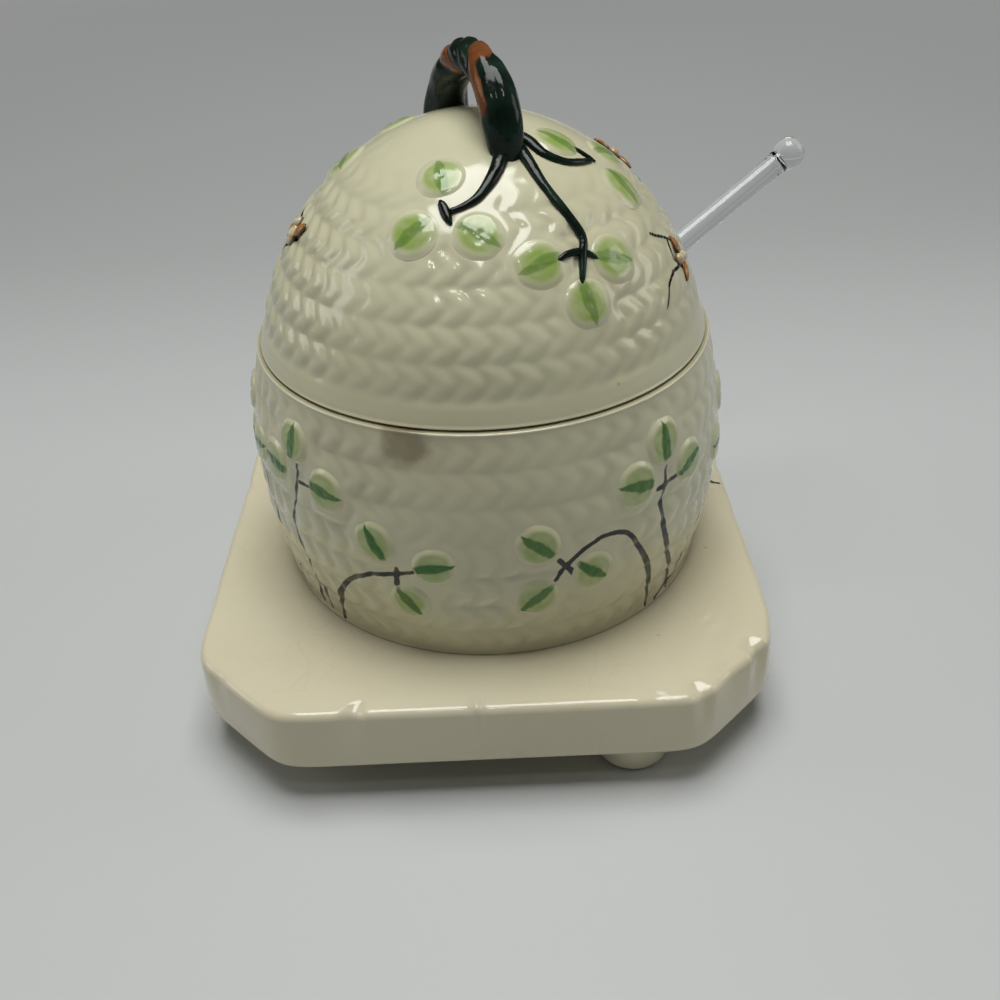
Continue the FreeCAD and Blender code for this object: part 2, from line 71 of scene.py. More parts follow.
class TurnedArc:
    """A circular outline turned about the pot's axis and walked by its length from its low end."""

    def __init__(self, low, middle, high, from_crown=False):
        (ax, ay), (bx, by), (cx, cy) = low, middle, high
        d = 2 * (ax * (by - cy) + bx * (cy - ay) + cx * (ay - by))
        a2, b2, c2 = ax * ax + ay * ay, bx * bx + by * by, cx * cx + cy * cy
        self.centre = np.array([(a2 * (by - cy) + b2 * (cy - ay) + c2 * (ay - by)) / d,
                                (a2 * (cx - bx) + b2 * (ax - cx) + c2 * (bx - ax)) / d])
        self.radius = math.hypot(ax - self.centre[0], ay - self.centre[1])
        self.first = math.atan2(ay - self.centre[1], ax - self.centre[0])
        last = math.atan2(cy - self.centre[1], cx - self.centre[0])
        self.length = (last - self.first) * self.radius
        self.from_crown = from_crown

    def walk(self, distance):
        """Length along the outline for millimetres up a wall, or down from the crown of a dome."""
        return self.length - distance * MM if self.from_crown else distance * MM

    def section(self, walked, lift=0.0):
        """Radius and height at a length along the outline."""
        angle = self.first + walked / self.radius
        reach = self.radius + lift
        return (self.centre[0] + reach * math.cos(angle), self.centre[1] + reach * math.sin(angle))

    def place(self, azimuth, walked, lift=0.0):
        """The point of the turned surface at an azimuth in degrees."""
        radius, height = self.section(walked, lift)
        turn = math.radians(azimuth)
        return Vector((radius * math.cos(turn), radius * math.sin(turn), height))

    def axes(self, azimuth, walked):
        """The level, up-slope and outward directions of the surface there."""
        turn = math.radians(azimuth)
        angle = self.first + walked / self.radius
        flat = math.cos(angle)
        outward = Vector((flat * math.cos(turn), flat * math.sin(turn), math.sin(angle)))
        level = Vector((-math.sin(turn), math.cos(turn), 0))
        return level, outward.cross(level), outward

    def project(self, points, lift):
        """Points laid on the turned surface and lifted off it."""
        points = np.asarray(points, float)
        rho = np.hypot(points[:, 0], points[:, 1])
        away = np.stack([rho - self.centre[0], points[:, 2] - self.centre[1]], 1)
        away *= ((self.radius + lift) / np.linalg.norm(away, axis=1))[:, None]
        share = (away[:, 0] + self.centre[0]) / np.maximum(rho, 1e-9)
        return np.stack([points[:, 0] * share, points[:, 1] * share, away[:, 1] + self.centre[1]], 1)


PLATE_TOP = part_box("pot_wall")[0].z
POT_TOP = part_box("pot_wall")[1].z
POT_BELLY = PLATE_TOP + 24.52 * MM
POT_FLOOR = 4.0 * MM
POT_ARC = TurnedArc((45.4 * MM, PLATE_TOP), (49.6 * MM, POT_BELLY), (46.2 * MM, POT_TOP))
LID_RIM = POT_TOP + 0.3 * MM
LID_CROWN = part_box("lid_dome")[1].z
LID_ARC = TurnedArc((45.0 * MM, LID_RIM), (34.79 * MM, LID_RIM + 24.0 * MM), (0.0, LID_CROWN), True)
LID_THICKNESS = 3.8 * MM
EDGE_FLARE = 0.45 * MM
MOUTH_RADIUS = 41.4 * MM
FLANGE_RADIUS = 40.8 * MM
FLANGE_INSIDE = 38.4 * MM
FLANGE_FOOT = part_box("lid_dome")[0].z
POT_ROWS = 7
LID_BAND = 4.6 * MM
LID_ROW = 6.61 * MM

# Clover sprigs: the stalk's joint and the three leaves, as azimuth in degrees and millimetres
# up the wall of the pot, or down from the crown of the lid.
POT_SPRIGS = {
    "front_left_high": ((-138.4, 35.3), ((-139.2, 43.4), (-147.2, 36.6), (-128.6, 36.4))),
    "front_left_low": ((-111.5, 21.9), ((-115.9, 28.6), (-102.7, 25.0), (-109.0, 15.6))),
    "front_right_low": ((-74.0, 23.1), ((-80.0, 29.2), (-67.6, 20.8), (-80.6, 16.8))),
    "front_right_high": ((-48.1, 33.9), ((-47.3, 42.4), (-56.0, 36.2), (-38.4, 35.0))),
    "right": ((-9.5, 29.0), ((-18.2, 29.6), (-7.4, 36.4), (-2.2, 25.0))),
    "left": ((-168.0, 35.0), ((-158.9, 35.8), (-170.6, 42.4), (-175.4, 31.0))),
}
LID_SPRIGS = {
    "front": ((-101.4, 29.0), ((-106.4, 21.6), (-111.8, 33.2), (-89.4, 33.2))),
    "front_right": ((-60.6, 39.7), ((-72.0, 39.6), (-48.4, 41.9), (-61.2, 47.8))),
    "right": ((-21.6, 24.7), ((-27.0, 17.6), (-3.4, 26.6), (-21.5, 32.0))),
}
# Sprigs that are repeated half a turn round, with the names of their copies.
POT_COPIES = {
    "front_left_high": "back_right_high", "front_left_low": "back_right_low",
    "front_right_low": "back_left_low", "front_right_high": "back_left_high",
}
LID_COPIES = {"front": "back", "front_right": "back_left", "right": "left"}
HALF_TURN_DEGREES = 180.0

# Brush strokes on the pot, as azimuth, millimetres up the wall and half the stroke's width.
POT_STROKES = (
    ((-137.6, 40.1, 0.22), (-138.8, 35.2, 0.30), (-140.4, 29.7, 0.26), (-142.6, 23.5, 0.26),
     (-141.4, 18.0, 0.30), (-139.6, 11.0, 0.40), (-138.0, 6.0, 0.48), (-138.2, 1.6, 0.40)),
    ((-138.8, 35.2, 0.30), (-134.0, 35.6, 0.22)),
    ((-140.8, 10.0, 0.24), (-141.8, 1.8, 0.32)),
    ((-133.4, 1.0, 0.45), (-131.2, 8.5, 0.58), (-128.3, 13.1, 0.52), (-124.1, 17.1, 0.44),
     (-118.9, 19.9, 0.38), (-111.5, 21.9, 0.36), (-106.4, 23.6, 0.26)),
    ((-111.4, 23.4, 0.36), (-111.8, 19.4, 0.52)),
    ((-46.8, 0.8, 0.26), (-49.2, 10.3, 0.52), (-51.4, 16.0, 0.62), (-55.5, 22.8, 0.48), (-58.5, 26.4, 0.40),
     (-62.4, 27.9, 0.38), (-66.8, 27.5, 0.38), (-70.7, 25.7, 0.36), (-74.0, 23.1, 0.38), (-76.2, 20.2, 0.26)),
    ((-75.4, 25.0, 0.42), (-70.8, 20.0, 0.56)),
    ((-37.4, 1.0, 0.26), (-39.9, 8.0, 0.40), (-44.9, 17.9, 0.60), (-48.1, 28.1, 0.50), (-47.5, 32.6, 0.42),
     (-46.6, 37.0, 0.28)),
    ((-49.6, 33.0, 0.40), (-42.6, 33.6, 0.40)),
    ((-43.2, 0.6, 0.24), (-36.0, 4.0, 0.28), (-27.5, 10.5, 0.28), (-19.0, 19.0, 0.28), (-11.5, 26.0, 0.28),
     (-9.2, 29.4, 0.28)),
    ((-168.4, 35.2, 0.28), (-161.0, 31.0, 0.28), (-155.9, 27.0, 0.28), (-154.2, 20.0, 0.30),
     (-152.0, 10.0, 0.32), (-150.5, 1.5, 0.32)),
)

# The brown stain on the pot: azimuth and length up the wall.
STAIN = (-107.6, 49.4 * MM)

# The first strokes on the pot are repeated at its back.
REPEATED_STROKES = 9

# Fine lines about the bees on the lid, as azimuth, millimetres down from the crown and half width.
LID_STROKES = (
    ((-26.4, 41.8, 0.21), (-19.1, 44.8, 0.23), (-14.0, 47.4, 0.23)),
    ((-18.6, 50.8, 0.23), (-26.0, 50.4, 0.23), (-31.0, 52.0, 0.21), (-35.0, 54.8, 0.19)),
    ((-19.6, 45.6, 0.21), (-20.6, 48.6, 0.21), (-17.6, 51.8, 0.21), (-13.8, 51.4, 0.21), (-14.6, 48.0, 0.21)),
    ((10.0, 27.4, 0.25), (14.0, 30.0, 0.29), (19.0, 31.4, 0.25)),
    ((18.0, 33.0, 0.25), (12.4, 35.6, 0.25), (9.6, 39.0, 0.23)),
    ((-178.0, 37.6, 0.25), (-171.8, 39.6, 0.29), (-166.0, 41.4, 0.25)),
    ((-164.0, 42.0, 0.25), (-169.6, 44.6, 0.27), (-174.0, 48.4, 0.23)),
)

# Raised twigs from the handle's front root: stations of azimuth, millimetres down from the crown
# and half width; each twig's first stroke is its stem.
TWIG_STROKES = {
    "twig_front": (
        ((-62.0, 10.0, 1.9), (-67.4, 13.6, 1.7), (-74.8, 18.1, 1.45), (-81.7, 22.1, 1.2), (-88.9, 25.9, 0.85),
         (-95.2, 27.8, 0.6), (-100.4, 28.8, 0.45)),
        ((-104.2, 26.6, 0.6), (-101.6, 28.6, 0.9), (-98.8, 31.2, 0.55)),
    ),
    "twig_front_right": (
        ((-60.0, 11.0, 1.7), (-58.8, 15.2, 1.45), (-59.8, 24.2, 1.0), (-57.2, 31.1, 0.85), (-55.6, 36.3, 0.8),
         (-58.4, 40.0, 0.75), (-61.6, 44.4, 0.5)),
        ((-66.8, 39.6, 0.5), (-62.8, 38.8, 0.6), (-58.5, 39.0, 0.7), (-55.6, 40.0, 0.55), (-53.8, 41.2, 0.4)),
    ),
    "twig_right": (
        ((-56.0, 11.0, 1.6), (-47.6, 14.7, 1.3), (-47.0, 18.6, 1.05), (-40.0, 22.0, 0.8), (-31.0, 23.6, 0.7),
         (-22.6, 24.7, 0.5)),
        ((-23.4, 20.4, 0.35), (-22.6, 22.6, 0.45), (-21.6, 25.4, 0.35)),
    ),
}

# Branch handle: the azimuth of its back foot, half its span, its arch and its place over the crown.
HANDLE_AZIMUTH = math.radians(113)
HANDLE_REACH, HANDLE_ARCH = 14.6 * MM, 16.6 * MM
HANDLE_SHIFT, HANDLE_RISE = -1.05 * MM, 9.2 * MM

# Glass dipper: radii of the rod, the ball knob and the bulb, and the angle of the first ring at a pole.
ROD_RADIUS, BALL_RADIUS, BULB_RADIUS = 2.35 * MM, 3.43 * MM, 4.78 * MM
POLE_GAP = math.degrees(0.12)

# Notch for the dipper: half its width, its reach each way along the rod, its depth below the rod
# and how far its middle lies from the pot's axis.
NOTCH_HALF_WIDTH, NOTCH_REACH, NOTCH_DROP = 3.95 * MM, 15.8 * MM, 30.0 * MM
NOTCH_MIDDLE = 40.136 * MM

# The photograph's camera: place, angle above level, roll and focal length on a 36 mm sensor.
CAMERA_PLACE = (1.97 * MM, -208.93 * MM, 172.25 * MM)
CAMERA_RISE, CAMERA_ROLL = math.radians(34.44), math.radians(-2.5)
CAMERA_LENS = 39.6

# Bees: azimuth, millimetres down from the crown and heading in degrees from level.
BEES = {
    "bee_right": (-16.0, 50.0, 168.0),
    "bee_upper_right": (16.5, 31.4, 150.0),
    "bee_left": (-168.0, 41.4, 110.0),
}

# Stand: how much its corners are cut and how sharp the cuts stay.
CORNER_CUT = 18.0 * MM
CORNER_SHARPNESS = 46.0

# Nicks in the stand's rim: azimuth and half width in degrees, and depth as a share of the deepest.
RIM_NICKS = (
    (-113.4, 1.8, 0.7), (-92.1, 1.3, 0.5), (-61.0, 3.2, 0.35), (-55.0, 2.0, 0.7), (-48.6, 4.6, 0.55),
    (-41.0, 2.2, 0.75), (-34.5, 3.6, 0.3), (20.0, 3.0, 0.25), (41.0, 2.4, 0.5), (47.0, 3.4, 0.6),
    (88.0, 2.0, 0.4), (112.0, 2.4, 0.4), (135.0, 3.4, 0.6), (160.0, 3.0, 0.2), (-138.0, 2.2, 0.2),
)

# Lamps: place, side of the square and share of the key power. All point at the pot's middle.
LAMPS = {
    "overhead_softbox": ((0.0, 0.03, 0.95), 0.55, 1.0),
    "left_softbox": ((-0.85, 0.05, 0.42), 0.4, 0.12),
    "right_softbox": ((0.85, 0.05, 0.42), 0.4, 0.11),
    "front_window": ((-0.02, -0.40, 0.80), 0.08, 0.04),
}
LAMP_AIM = Vector((0, 0, 0.06))
FLOOR_RADIUS = 6.0


# Node trees

class Value:
    """A node socket in an expression: each operator adds one Math node to its tree."""

    def __init__(self, graph, socket):
        self.graph = graph
        self.socket = socket

    def math(self, operation, *others):
        inputs = dict(enumerate((self, *others)))
        return self.graph.add("ShaderNodeMath", {"operation": operation}, inputs)

    def __add__(self, other):
        return self.math("ADD", other)

    __radd__ = __add__

    def __sub__(self, other):
        return self.math("SUBTRACT", other)

    def __rsub__(self, other):
        return (self * -1.0) + other

    def __mul__(self, other):
        return self.math("MULTIPLY", other)

    __rmul__ = __mul__

    def __truediv__(self, other):
        return self.math("DIVIDE", other)

    def __pow__(self, other):
        return self.math("POWER", other)

    def __abs__(self):
        return self.math("ABSOLUTE")

    def ease(self, low, high):
        """0 below low and 1 above high, with a soft step between; it falls where low is above high."""
        return self.graph.add("ShaderNodeMapRange", {"interpolation_type": "SMOOTHSTEP"},
                              {"Value": self, "From Min": low, "From Max": high}, "Result")


class Graph:
    """Adds nodes to one tree."""

    def __init__(self, tree):
        self.tree = tree

    def add(self, kind, settings=None, inputs=None, output=0):
        """Add a node with its settings, then feed its sockets; returns one of its outputs."""
        node = self.tree.nodes.new(kind)
        for name, value in (settings or {}).items():
            setattr(node, name, value)
        for key, value in (inputs or {}).items():
            if isinstance(value, Value):
                self.tree.links.new(value.socket, node.inputs[key])
            else:
                node.inputs[key].default_value = value
        return Value(self, node.outputs[output])

    def mix(self, factor, first, second):
        """Blend two colours."""
        return self.add("ShaderNodeMix", {"data_type": "RGBA"}, {0: factor, 6: first, 7: second}, 2)

    def noise(self, coords, scale, detail=2.0):
        return self.add("ShaderNodeTexNoise", None, {"Vector": coords, "Scale": scale, "Detail": detail}, 0)

    def bump(self, height, strength):
        """A normal that is pushed about by a height."""
        inputs = {"Strength": strength, "Distance": BUMP_DEPTH, "Height": height}
        return self.add("ShaderNodeBump", None, inputs, "Normal")

    def painted(self, name):
        """A number painted on the mesh."""
        return self.add("ShaderNodeAttribute", {"attribute_name": name}, None, "Fac")

    def field(self, name, kind="FLOAT"):
        """A named attribute in a geometry tree."""
        return self.add("GeometryNodeInputNamedAttribute", {"data_type": kind}, {"Name": name})


def geometry_tree(name, sockets):
    """A geometry tree with a Geometry input, named inputs and a Geometry output."""
    tree = bpy.data.node_groups.new(name, "GeometryNodeTree")
    tree.interface.new_socket("Geometry", in_out="INPUT", socket_type="NodeSocketGeometry")
    tree.interface.new_socket("Geometry", in_out="OUTPUT", socket_type="NodeSocketGeometry")
    for label, kind in sockets:
        tree.interface.new_socket(label, in_out="INPUT", socket_type=kind)
    graph = Graph(tree)
    entry = tree.nodes.new("NodeGroupInput")
    inputs = {socket.name: Value(graph, socket) for socket in entry.outputs if socket.name}
    return tree, graph, inputs


def finish_tree(graph, geometry, material):
    """End a geometry tree in realized geometry with its material."""
    solid = graph.add("GeometryNodeRealizeInstances", None, {0: geometry})
    dressed = graph.add("GeometryNodeSetMaterial", None, {0: solid, "Material": material})
    exit_node = graph.tree.nodes.new("NodeGroupOutput")
    graph.tree.links.new(dressed.socket, exit_node.inputs[0])


def braided_rows_tree():
    """Presses braided straw rows into a turned wall: each row bulges and its lobes meet in a chevron."""
    tree, graph, given = geometry_tree("braided_rows", (
        ("Row Depth", "NodeSocketFloat"), ("Lobe Depth", "NodeSocketFloat"), ("Slant", "NodeSocketFloat"),
        ("Hand Wobble", "NodeSocketFloat"), ("Material", "NodeSocketMaterial")))
    row = graph.field("row_place")
    across = row.math("FRACT") * 2.0 - 1.0
    edge = abs(across)
    bulge = (1.0 - edge * edge).math("MAXIMUM", 0.0) ** 0.75
    offset = ((row.math("FLOOR") * 12.9898).math("SINE") * 43.7585).math("FRACT") * FULL_TURN
    slope = (edge * edge + 0.03).math("SQRT")
    phase = graph.field("turn") * graph.field("row_lobes") + slope * given["Slant"] + offset
    groove = (phase.math("COSINE") * 0.5 + 0.5) ** 1.6
    place = graph.add("GeometryNodeInputPosition")
    thick_glaze = graph.noise(place, 42.0).ease(0.34, 0.62) * 0.6 + 0.4
    mask = graph.field("relief") * thick_glaze
    depth = ((1.0 - bulge) * given["Row Depth"] + groove * (bulge * 0.8 + 0.2) * given["Lobe Depth"]) * mask
    wobble = graph.noise(place, 60.0) * graph.field("skin") * given["Hand Wobble"]
    normal = graph.add("GeometryNodeInputNormal")
    push = graph.add("ShaderNodeVectorMath", {"operation": "SCALE"},
                     {0: normal, "Scale": (depth + wobble) * -1.0})
    moved = graph.add("GeometryNodeSetPosition", None, {0: given["Geometry"], "Offset": push})
    pooled = depth / (given["Row Depth"] + given["Lobe Depth"])
    kept = graph.add("GeometryNodeStoreNamedAttribute", {"data_type": "FLOAT", "domain": "POINT"},
                     {0: moved, "Name": "groove", "Value": pooled})
    finish_tree(graph, kept, given["Material"])
    return tree


def sprig_tree():
    """Sets copies of one relief on points of a turned wall and wraps them onto it."""
    tree, graph, given = geometry_tree("sprig_reliefs", (
        ("Relief", "NodeSocketObject"), ("Arc Radius", "NodeSocketFloat"),
        ("Arc Middle Radius", "NodeSocketFloat"), ("Arc Middle Height", "NodeSocketFloat"),
        ("Material", "NodeSocketMaterial")))
    relief = graph.add("GeometryNodeObjectInfo", None, {"Object": given["Relief"]}, "Geometry")
    points = graph.add("GeometryNodeMeshToPoints", None, {0: given["Geometry"]})
    upright = graph.add("FunctionNodeAlignRotationToVector", {"axis": "Z"},
                        {"Vector": graph.field("outward", "FLOAT_VECTOR")})
    turned = graph.add("FunctionNodeAlignRotationToVector", {"axis": "X", "pivot_axis": "Z"},
                       {"Rotation": upright, "Vector": graph.field("heading", "FLOAT_VECTOR")})
    copies = graph.add("GeometryNodeInstanceOnPoints", None,
                       {0: points, "Instance": relief, "Rotation": turned,
                        "Scale": graph.field("size", "FLOAT_VECTOR")})
    solid = graph.add("GeometryNodeRealizeInstances", None, {0: copies})
    place = graph.add("GeometryNodeInputPosition")
    split = graph.add("ShaderNodeSeparateXYZ", None, {0: place})
    x, y, z = (Value(graph, split.socket.node.outputs[index]) for index in range(3))
    rho = (x * x + y * y).math("SQRT")
    out = rho - given["Arc Middle Radius"]
    up = z - given["Arc Middle Height"]
    stretch = (given["Arc Radius"] + graph.field("rise")) / (out * out + up * up).math("SQRT")
    ratio = (out * stretch + given["Arc Middle Radius"]) / rho
    wrapped = graph.add("ShaderNodeCombineXYZ", None,
                        {0: x * ratio, 1: y * ratio, 2: up * stretch + given["Arc Middle Height"]})
    moved = graph.add("GeometryNodeSetPosition", None, {0: solid, "Position": wrapped})
    finish_tree(graph, moved, given["Material"])
    return tree


def grow(obj, tree, values):
    """Run a geometry tree on an object and keep the result as its plain mesh."""
    modifier = obj.modifiers.new(tree.name, "NODES")
    modifier.node_group = tree
    for socket in tree.interface.items_tree:
        if socket.in_out == "INPUT" and socket.name in values:
            modifier[socket.identifier] = values[socket.name]
    settle(obj)


def settle(obj):
    """Keep what an object's modifiers give as its plain mesh."""
    bpy.context.view_layer.update()
    depsgraph = bpy.context.evaluated_depsgraph_get()
    mesh = bpy.data.meshes.new_from_object(obj.evaluated_get(depsgraph), preserve_all_data_layers=True,
                                           depsgraph=depsgraph)
    old = obj.data
    obj.modifiers.clear()
    obj.data = mesh
    bpy.data.meshes.remove(old)
    mesh.name = obj.name
    smooth(mesh)


def smooth(mesh):
    mesh.polygons.foreach_set("use_smooth", np.ones(len(mesh.polygons), bool))
    mesh.update()


def new_piece(name, vertices, faces):
    """A mesh object at the origin."""
    mesh = bpy.data.meshes.new(name)
    mesh.from_pydata([tuple(v) for v in vertices], [], faces)
    mesh.update()
    smooth(mesh)
    obj = bpy.data.objects.new(name, mesh)
    bpy.context.scene.collection.objects.link(obj)
    return obj


def strip_faces(first, rings, columns, flip=False):
    """Quads between neighbouring rings of vertices, numbered from first."""
    faces = []
    for low in range(first, first + (rings - 1) * columns, columns):
        for column in range(columns):
            beside = (column + 1) % columns
            quad = (low + column, low + beside, low + columns + beside, low + columns + column)
            faces.append(quad[::-1] if flip else quad)
    return faces


def fan_faces(tip, first, columns, flip=False):
    """Triangles from one vertex to a ring of vertices, numbered from first."""
    faces = [(tip, first + (column + 1) % columns, first + column) for column in range(columns)]
    return [face[::-1] for face in faces] if flip else faces


def tube_faces(first, rings, columns):
    """A tube through rings of vertices with a flat cap at each end."""
    last = first + (rings - 1) * columns
    return [tuple(range(first, first + columns)), tuple(range(last + columns - 1, last - 1, -1)),
            *strip_faces(first, rings, columns, True)]


def relief_faces(base, rings, columns):
    """A closed relief: its middle, the rings about it and the middle of its underside."""
    rim = base + 1 + (rings - 1) * columns
    return (fan_faces(base, base + 1, columns, True) + strip_faces(base + 1, rings, columns, True)
            + fan_faces(rim + columns, rim, columns))


def paint(obj, name, values, kind="FLOAT"):
    """Store one number or vector for each vertex."""
    layer = obj.data.attributes.new(name, kind, "POINT")
    key = "vector" if kind == "FLOAT_VECTOR" else "value"
    layer.data.foreach_set(key, np.asarray(values, np.float32).ravel())


def hand_over(obj, body, nodes):
    """Attach a finished piece to the body it moves with, and hide the solids it stands for."""
    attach(obj, body)
    if nodes:
        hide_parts(*nodes)


def lathe(name, rings, columns):
    """A closed turned mesh through (radius, height) rings that start and end on the axis."""
    turns = np.arange(columns) * FULL_TURN / columns
    inner = np.asarray(rings[1:-1], float)
    wall = np.stack([inner[:, :1] * np.cos(turns), inner[:, :1] * np.sin(turns),
                     np.repeat(inner[:, 1:], columns, 1)], 2).reshape(-1, 3)
    vertices = np.vstack([[(0, 0, rings[0][1])], wall, [(0, 0, rings[-1][1])]])
    count = len(inner)
    faces = fan_faces(0, 1, columns) + strip_faces(1, count, columns)
    faces += fan_faces(len(vertices) - 1, 1 + (count - 1) * columns, columns, True)
    obj = new_piece(name, vertices, faces)
    spread = np.concatenate([[0.0], np.tile(turns, count), [0.0]])
    ring_of = np.concatenate([[0], np.repeat(np.arange(1, count + 1), columns), [count + 1]])
    return obj, spread, ring_of, vertices


def rounded(centre, radius, start, stop, steps):
    """Points of a round in the outline's plane, angles in degrees."""
    return [(centre[0] + radius * math.cos(math.radians(a)), centre[1] + radius * math.sin(math.radians(a)))
            for a in np.linspace(start, stop, steps)]


def stroke_path(stations, step=0.4):
    """Stations of a stroke joined by a smooth curve through them."""
    stations = np.asarray(stations, float)
    padded = np.vstack([2 * stations[0] - stations[1], stations, 2 * stations[-1] - stations[-2]])
    path = []
    for index in range(1, len(padded) - 2):
        p0, p1, p2, p3 = padded[index - 1:index + 3]
        count = max(3, int(math.hypot(*(p2 - p1)[:2]) / step))
        for t in np.linspace(0, 1, count, endpoint=False):
            path.append(0.5 * (2 * p1 + (p2 - p0) * t + (2 * p0 - 5 * p1 + 4 * p2 - p3) * t * t
                               + (3 * p1 - p0 - 3 * p2 + p3) * t ** 3))
    path.append(stations[-1])
    return path


def line_distance(points, centres, widths):
    """Distance from each point to the edge of a brushed line with these half widths, negative inside it."""
    nearest = np.full(len(points), FAR_FROM_INK)
    for a, b, wa, wb in zip(centres[:-1], centres[1:], widths[:-1], widths[1:]):
        along = b - a
        share = np.clip((points - a) @ along / max(along @ along, 1e-12), 0, 1)
        reach = np.linalg.norm(points - a - share[:, None] * along, axis=1) - (wa + (wb - wa) * share)
        nearest = np.minimum(nearest, reach)
    return np.clip(nearest, DEEP_IN_INK, FAR_FROM_INK)


def ink_distance(vertices, arc, strokes):
    """Millimetres from each vertex of a turned wall to the edge of the nearest brush stroke."""
    nearest = np.full(len(vertices), FAR_FROM_INK)
    points = vertices / MM
    for stroke in strokes:
        path = stroke_path(stroke)
        centres = np.array([arc.place(azimuth, arc.walk(distance)) for azimuth, distance, _ in path]) / MM
        widths = [width for _, _, width in path]
        above = points > centres.min(0) - FAR_FROM_INK
        below = points < centres.max(0) + FAR_FROM_INK
        near = np.where(np.all(above & below, 1))[0]
        nearest[near] = np.minimum(nearest[near], line_distance(points[near], centres, widths))
    return nearest


def leaf_spots(arc):
    """Sprig by sprig: its node, its joint and its leaves, as azimuth and length walked up the outline."""
    if arc is POT_ARC:
        body, sprigs, copies = "pot", POT_SPRIGS, POT_COPIES
    else:
        body, sprigs, copies = "lid", LID_SPRIGS, LID_COPIES
    for place, (joint, leaves) in sprigs.items():
        sides = [(place, 0.0)]
        if place in copies:
            sides.append((copies[place], HALF_TURN_DEGREES))
        for side, turn in sides:
            spots = [(azimuth + turn, arc.walk(distance)) for azimuth, distance in (joint, *leaves)]
            yield f"{body}_clover_{side}", spots[0], spots[1:]


def clear_of_leaves(vertices, arc, radius):
    """0 under the leaves, where the wall is smoothed for them, and 1 away from them."""
    clear = np.ones(len(vertices))
    for _, _, leaves in leaf_spots(arc):
        for azimuth, walked in leaves:
            away = np.linalg.norm(vertices - np.array(arc.place(azimuth, walked)), axis=1) / radius
            clear = np.minimum(clear, np.clip((away - 1.02) / 0.6, 0, 1))
    return clear * clear * (3 - 2 * clear)


def half_turned(strokes):
    """The same strokes on the other side of the pot."""
    return tuple(tuple((azimuth + HALF_TURN_DEGREES, distance, width)
                       for azimuth, distance, width in stroke) for stroke in strokes)


# Finishes

def colour4(colour, share=1.0):
    return (colour[0] * share, colour[1] * share, colour[2] * share, 1.0)


def fresh_material(name):
    """A material, its graph, its Principled shader and the object's coordinates."""
    material = bpy.data.materials.new(name)
    material.use_nodes = True
    tree = material.node_tree
    tree.nodes.clear()
    graph = Graph(tree)
    shader = graph.add("ShaderNodeBsdfPrincipled")
    out = tree.nodes.new("ShaderNodeOutputMaterial")
    tree.links.new(shader.socket, out.inputs["Surface"])
    coords = graph.add("ShaderNodeTexCoord", None, None, "Object")
    return material, graph, shader.socket.node, coords


def feed(graph, node, **inputs):
    """Set or link a shader's sockets; an underscore stands for a space."""
    for name, value in inputs.items():
        socket = node.inputs[name.replace("_", " ")]
        if isinstance(value, Value):
            graph.tree.links.new(value.socket, socket)
        else:
            socket.default_value = value


def glaze_body(graph, coords, colour, warm, crazing=0.06):
    """Uneven glaze with faint crazing and pinhole specks."""
    cloud = graph.noise(coords, 26.0, 3.0).ease(0.35, 0.70)
    base = graph.mix(cloud * 0.55, colour4(colour), colour4(warm))
    bent = graph.add("ShaderNodeVectorMath", {"operation": "MULTIPLY_ADD"},
                     {0: graph.add("ShaderNodeTexNoise", None, {"Vector": coords, "Scale": 90.0}, "Color"),
                      1: (0.004, 0.004, 0.004), 2: coords})
    cracks = graph.add("ShaderNodeTexVoronoi", {"feature": "DISTANCE_TO_EDGE"},
                       {"Vector": bent, "Scale": 150.0}, "Distance")
    crazed = graph.noise(coords, 38.0).ease(0.42, 0.66)
    base = graph.mix(cracks.ease(0.035, 0.0) * crazed * crazing, base, colour4((0.30, 0.24, 0.13)))
    cells = graph.add("ShaderNodeTexVoronoi", {"feature": "F1"},
                      {"Vector": coords, "Scale": 210.0}, "Distance")
    lottery = Value(graph, cells.socket.node.outputs["Color"])
    lucky = graph.add("ShaderNodeSeparateColor", None, {0: lottery}, 0)
    specks = cells.ease(0.12, 0.03) * lucky.ease(0.78, 0.98)
    return graph.mix(specks * 0.6, base, colour4((0.16, 0.13, 0.08)))


def glaze_gloss(graph, shader, coords, base, ripples=240.0, depth=0.16):
    """The wet gloss of a thick glaze over slow ripples."""
    bump = graph.bump(graph.noise(coords, ripples, 1.0), depth)
    feed(graph, shader, Base_Color=base, Roughness=graph.noise(coords, 70.0) * 0.08 + 0.09, Coat_Weight=0.2,
         Coat_Roughness=0.03, IOR=1.45, Normal=bump)


def hive_glaze(name, finish, stained):
    """Cream glaze of the braided walls, pooled in the grooves, with brushed stems and painted shade under the
    lid's rim.
    """
    material, graph, shader, coords = fresh_material(name)
    base = glaze_body(graph, coords, finish.hive_colour, finish.hive_warm, 0.05)
    base = graph.mix(graph.painted("groove") * 0.42, base, colour4(finish.pooled_colour))
    if stained:
        spot = POT_ARC.place(*STAIN)
        away = graph.add("ShaderNodeVectorMath", {"operation": "DISTANCE"},
                         {0: coords, 1: tuple(spot)}, "Value")
        blot = (away + graph.noise(coords, 210.0, 3.0) * 0.006).ease(0.0092, 0.0052)
        base = graph.mix(blot * 0.6, base, colour4((0.13, 0.08, 0.03)))
    # Painted shade: the pot's lip and ledge under the lid's rim are darkened to dark brown.
    base = graph.mix(graph.painted("grime") * 0.85, base, colour4((0.10, 0.065, 0.03)))
    ragged = graph.painted("ink") + graph.noise(coords, 900.0, 2.0) * 0.3 - 0.15
    streaks = graph.noise(coords, 420.0, 2.0).ease(0.35, 0.75)
    ink = graph.mix(streaks * 0.5, colour4(finish.ink_colour), colour4(finish.ink_colour, 1.8))
    base = graph.mix(ragged.ease(0.24, 0.0), base, ink)
    glaze_gloss(graph, shader, coords, base)
    return material


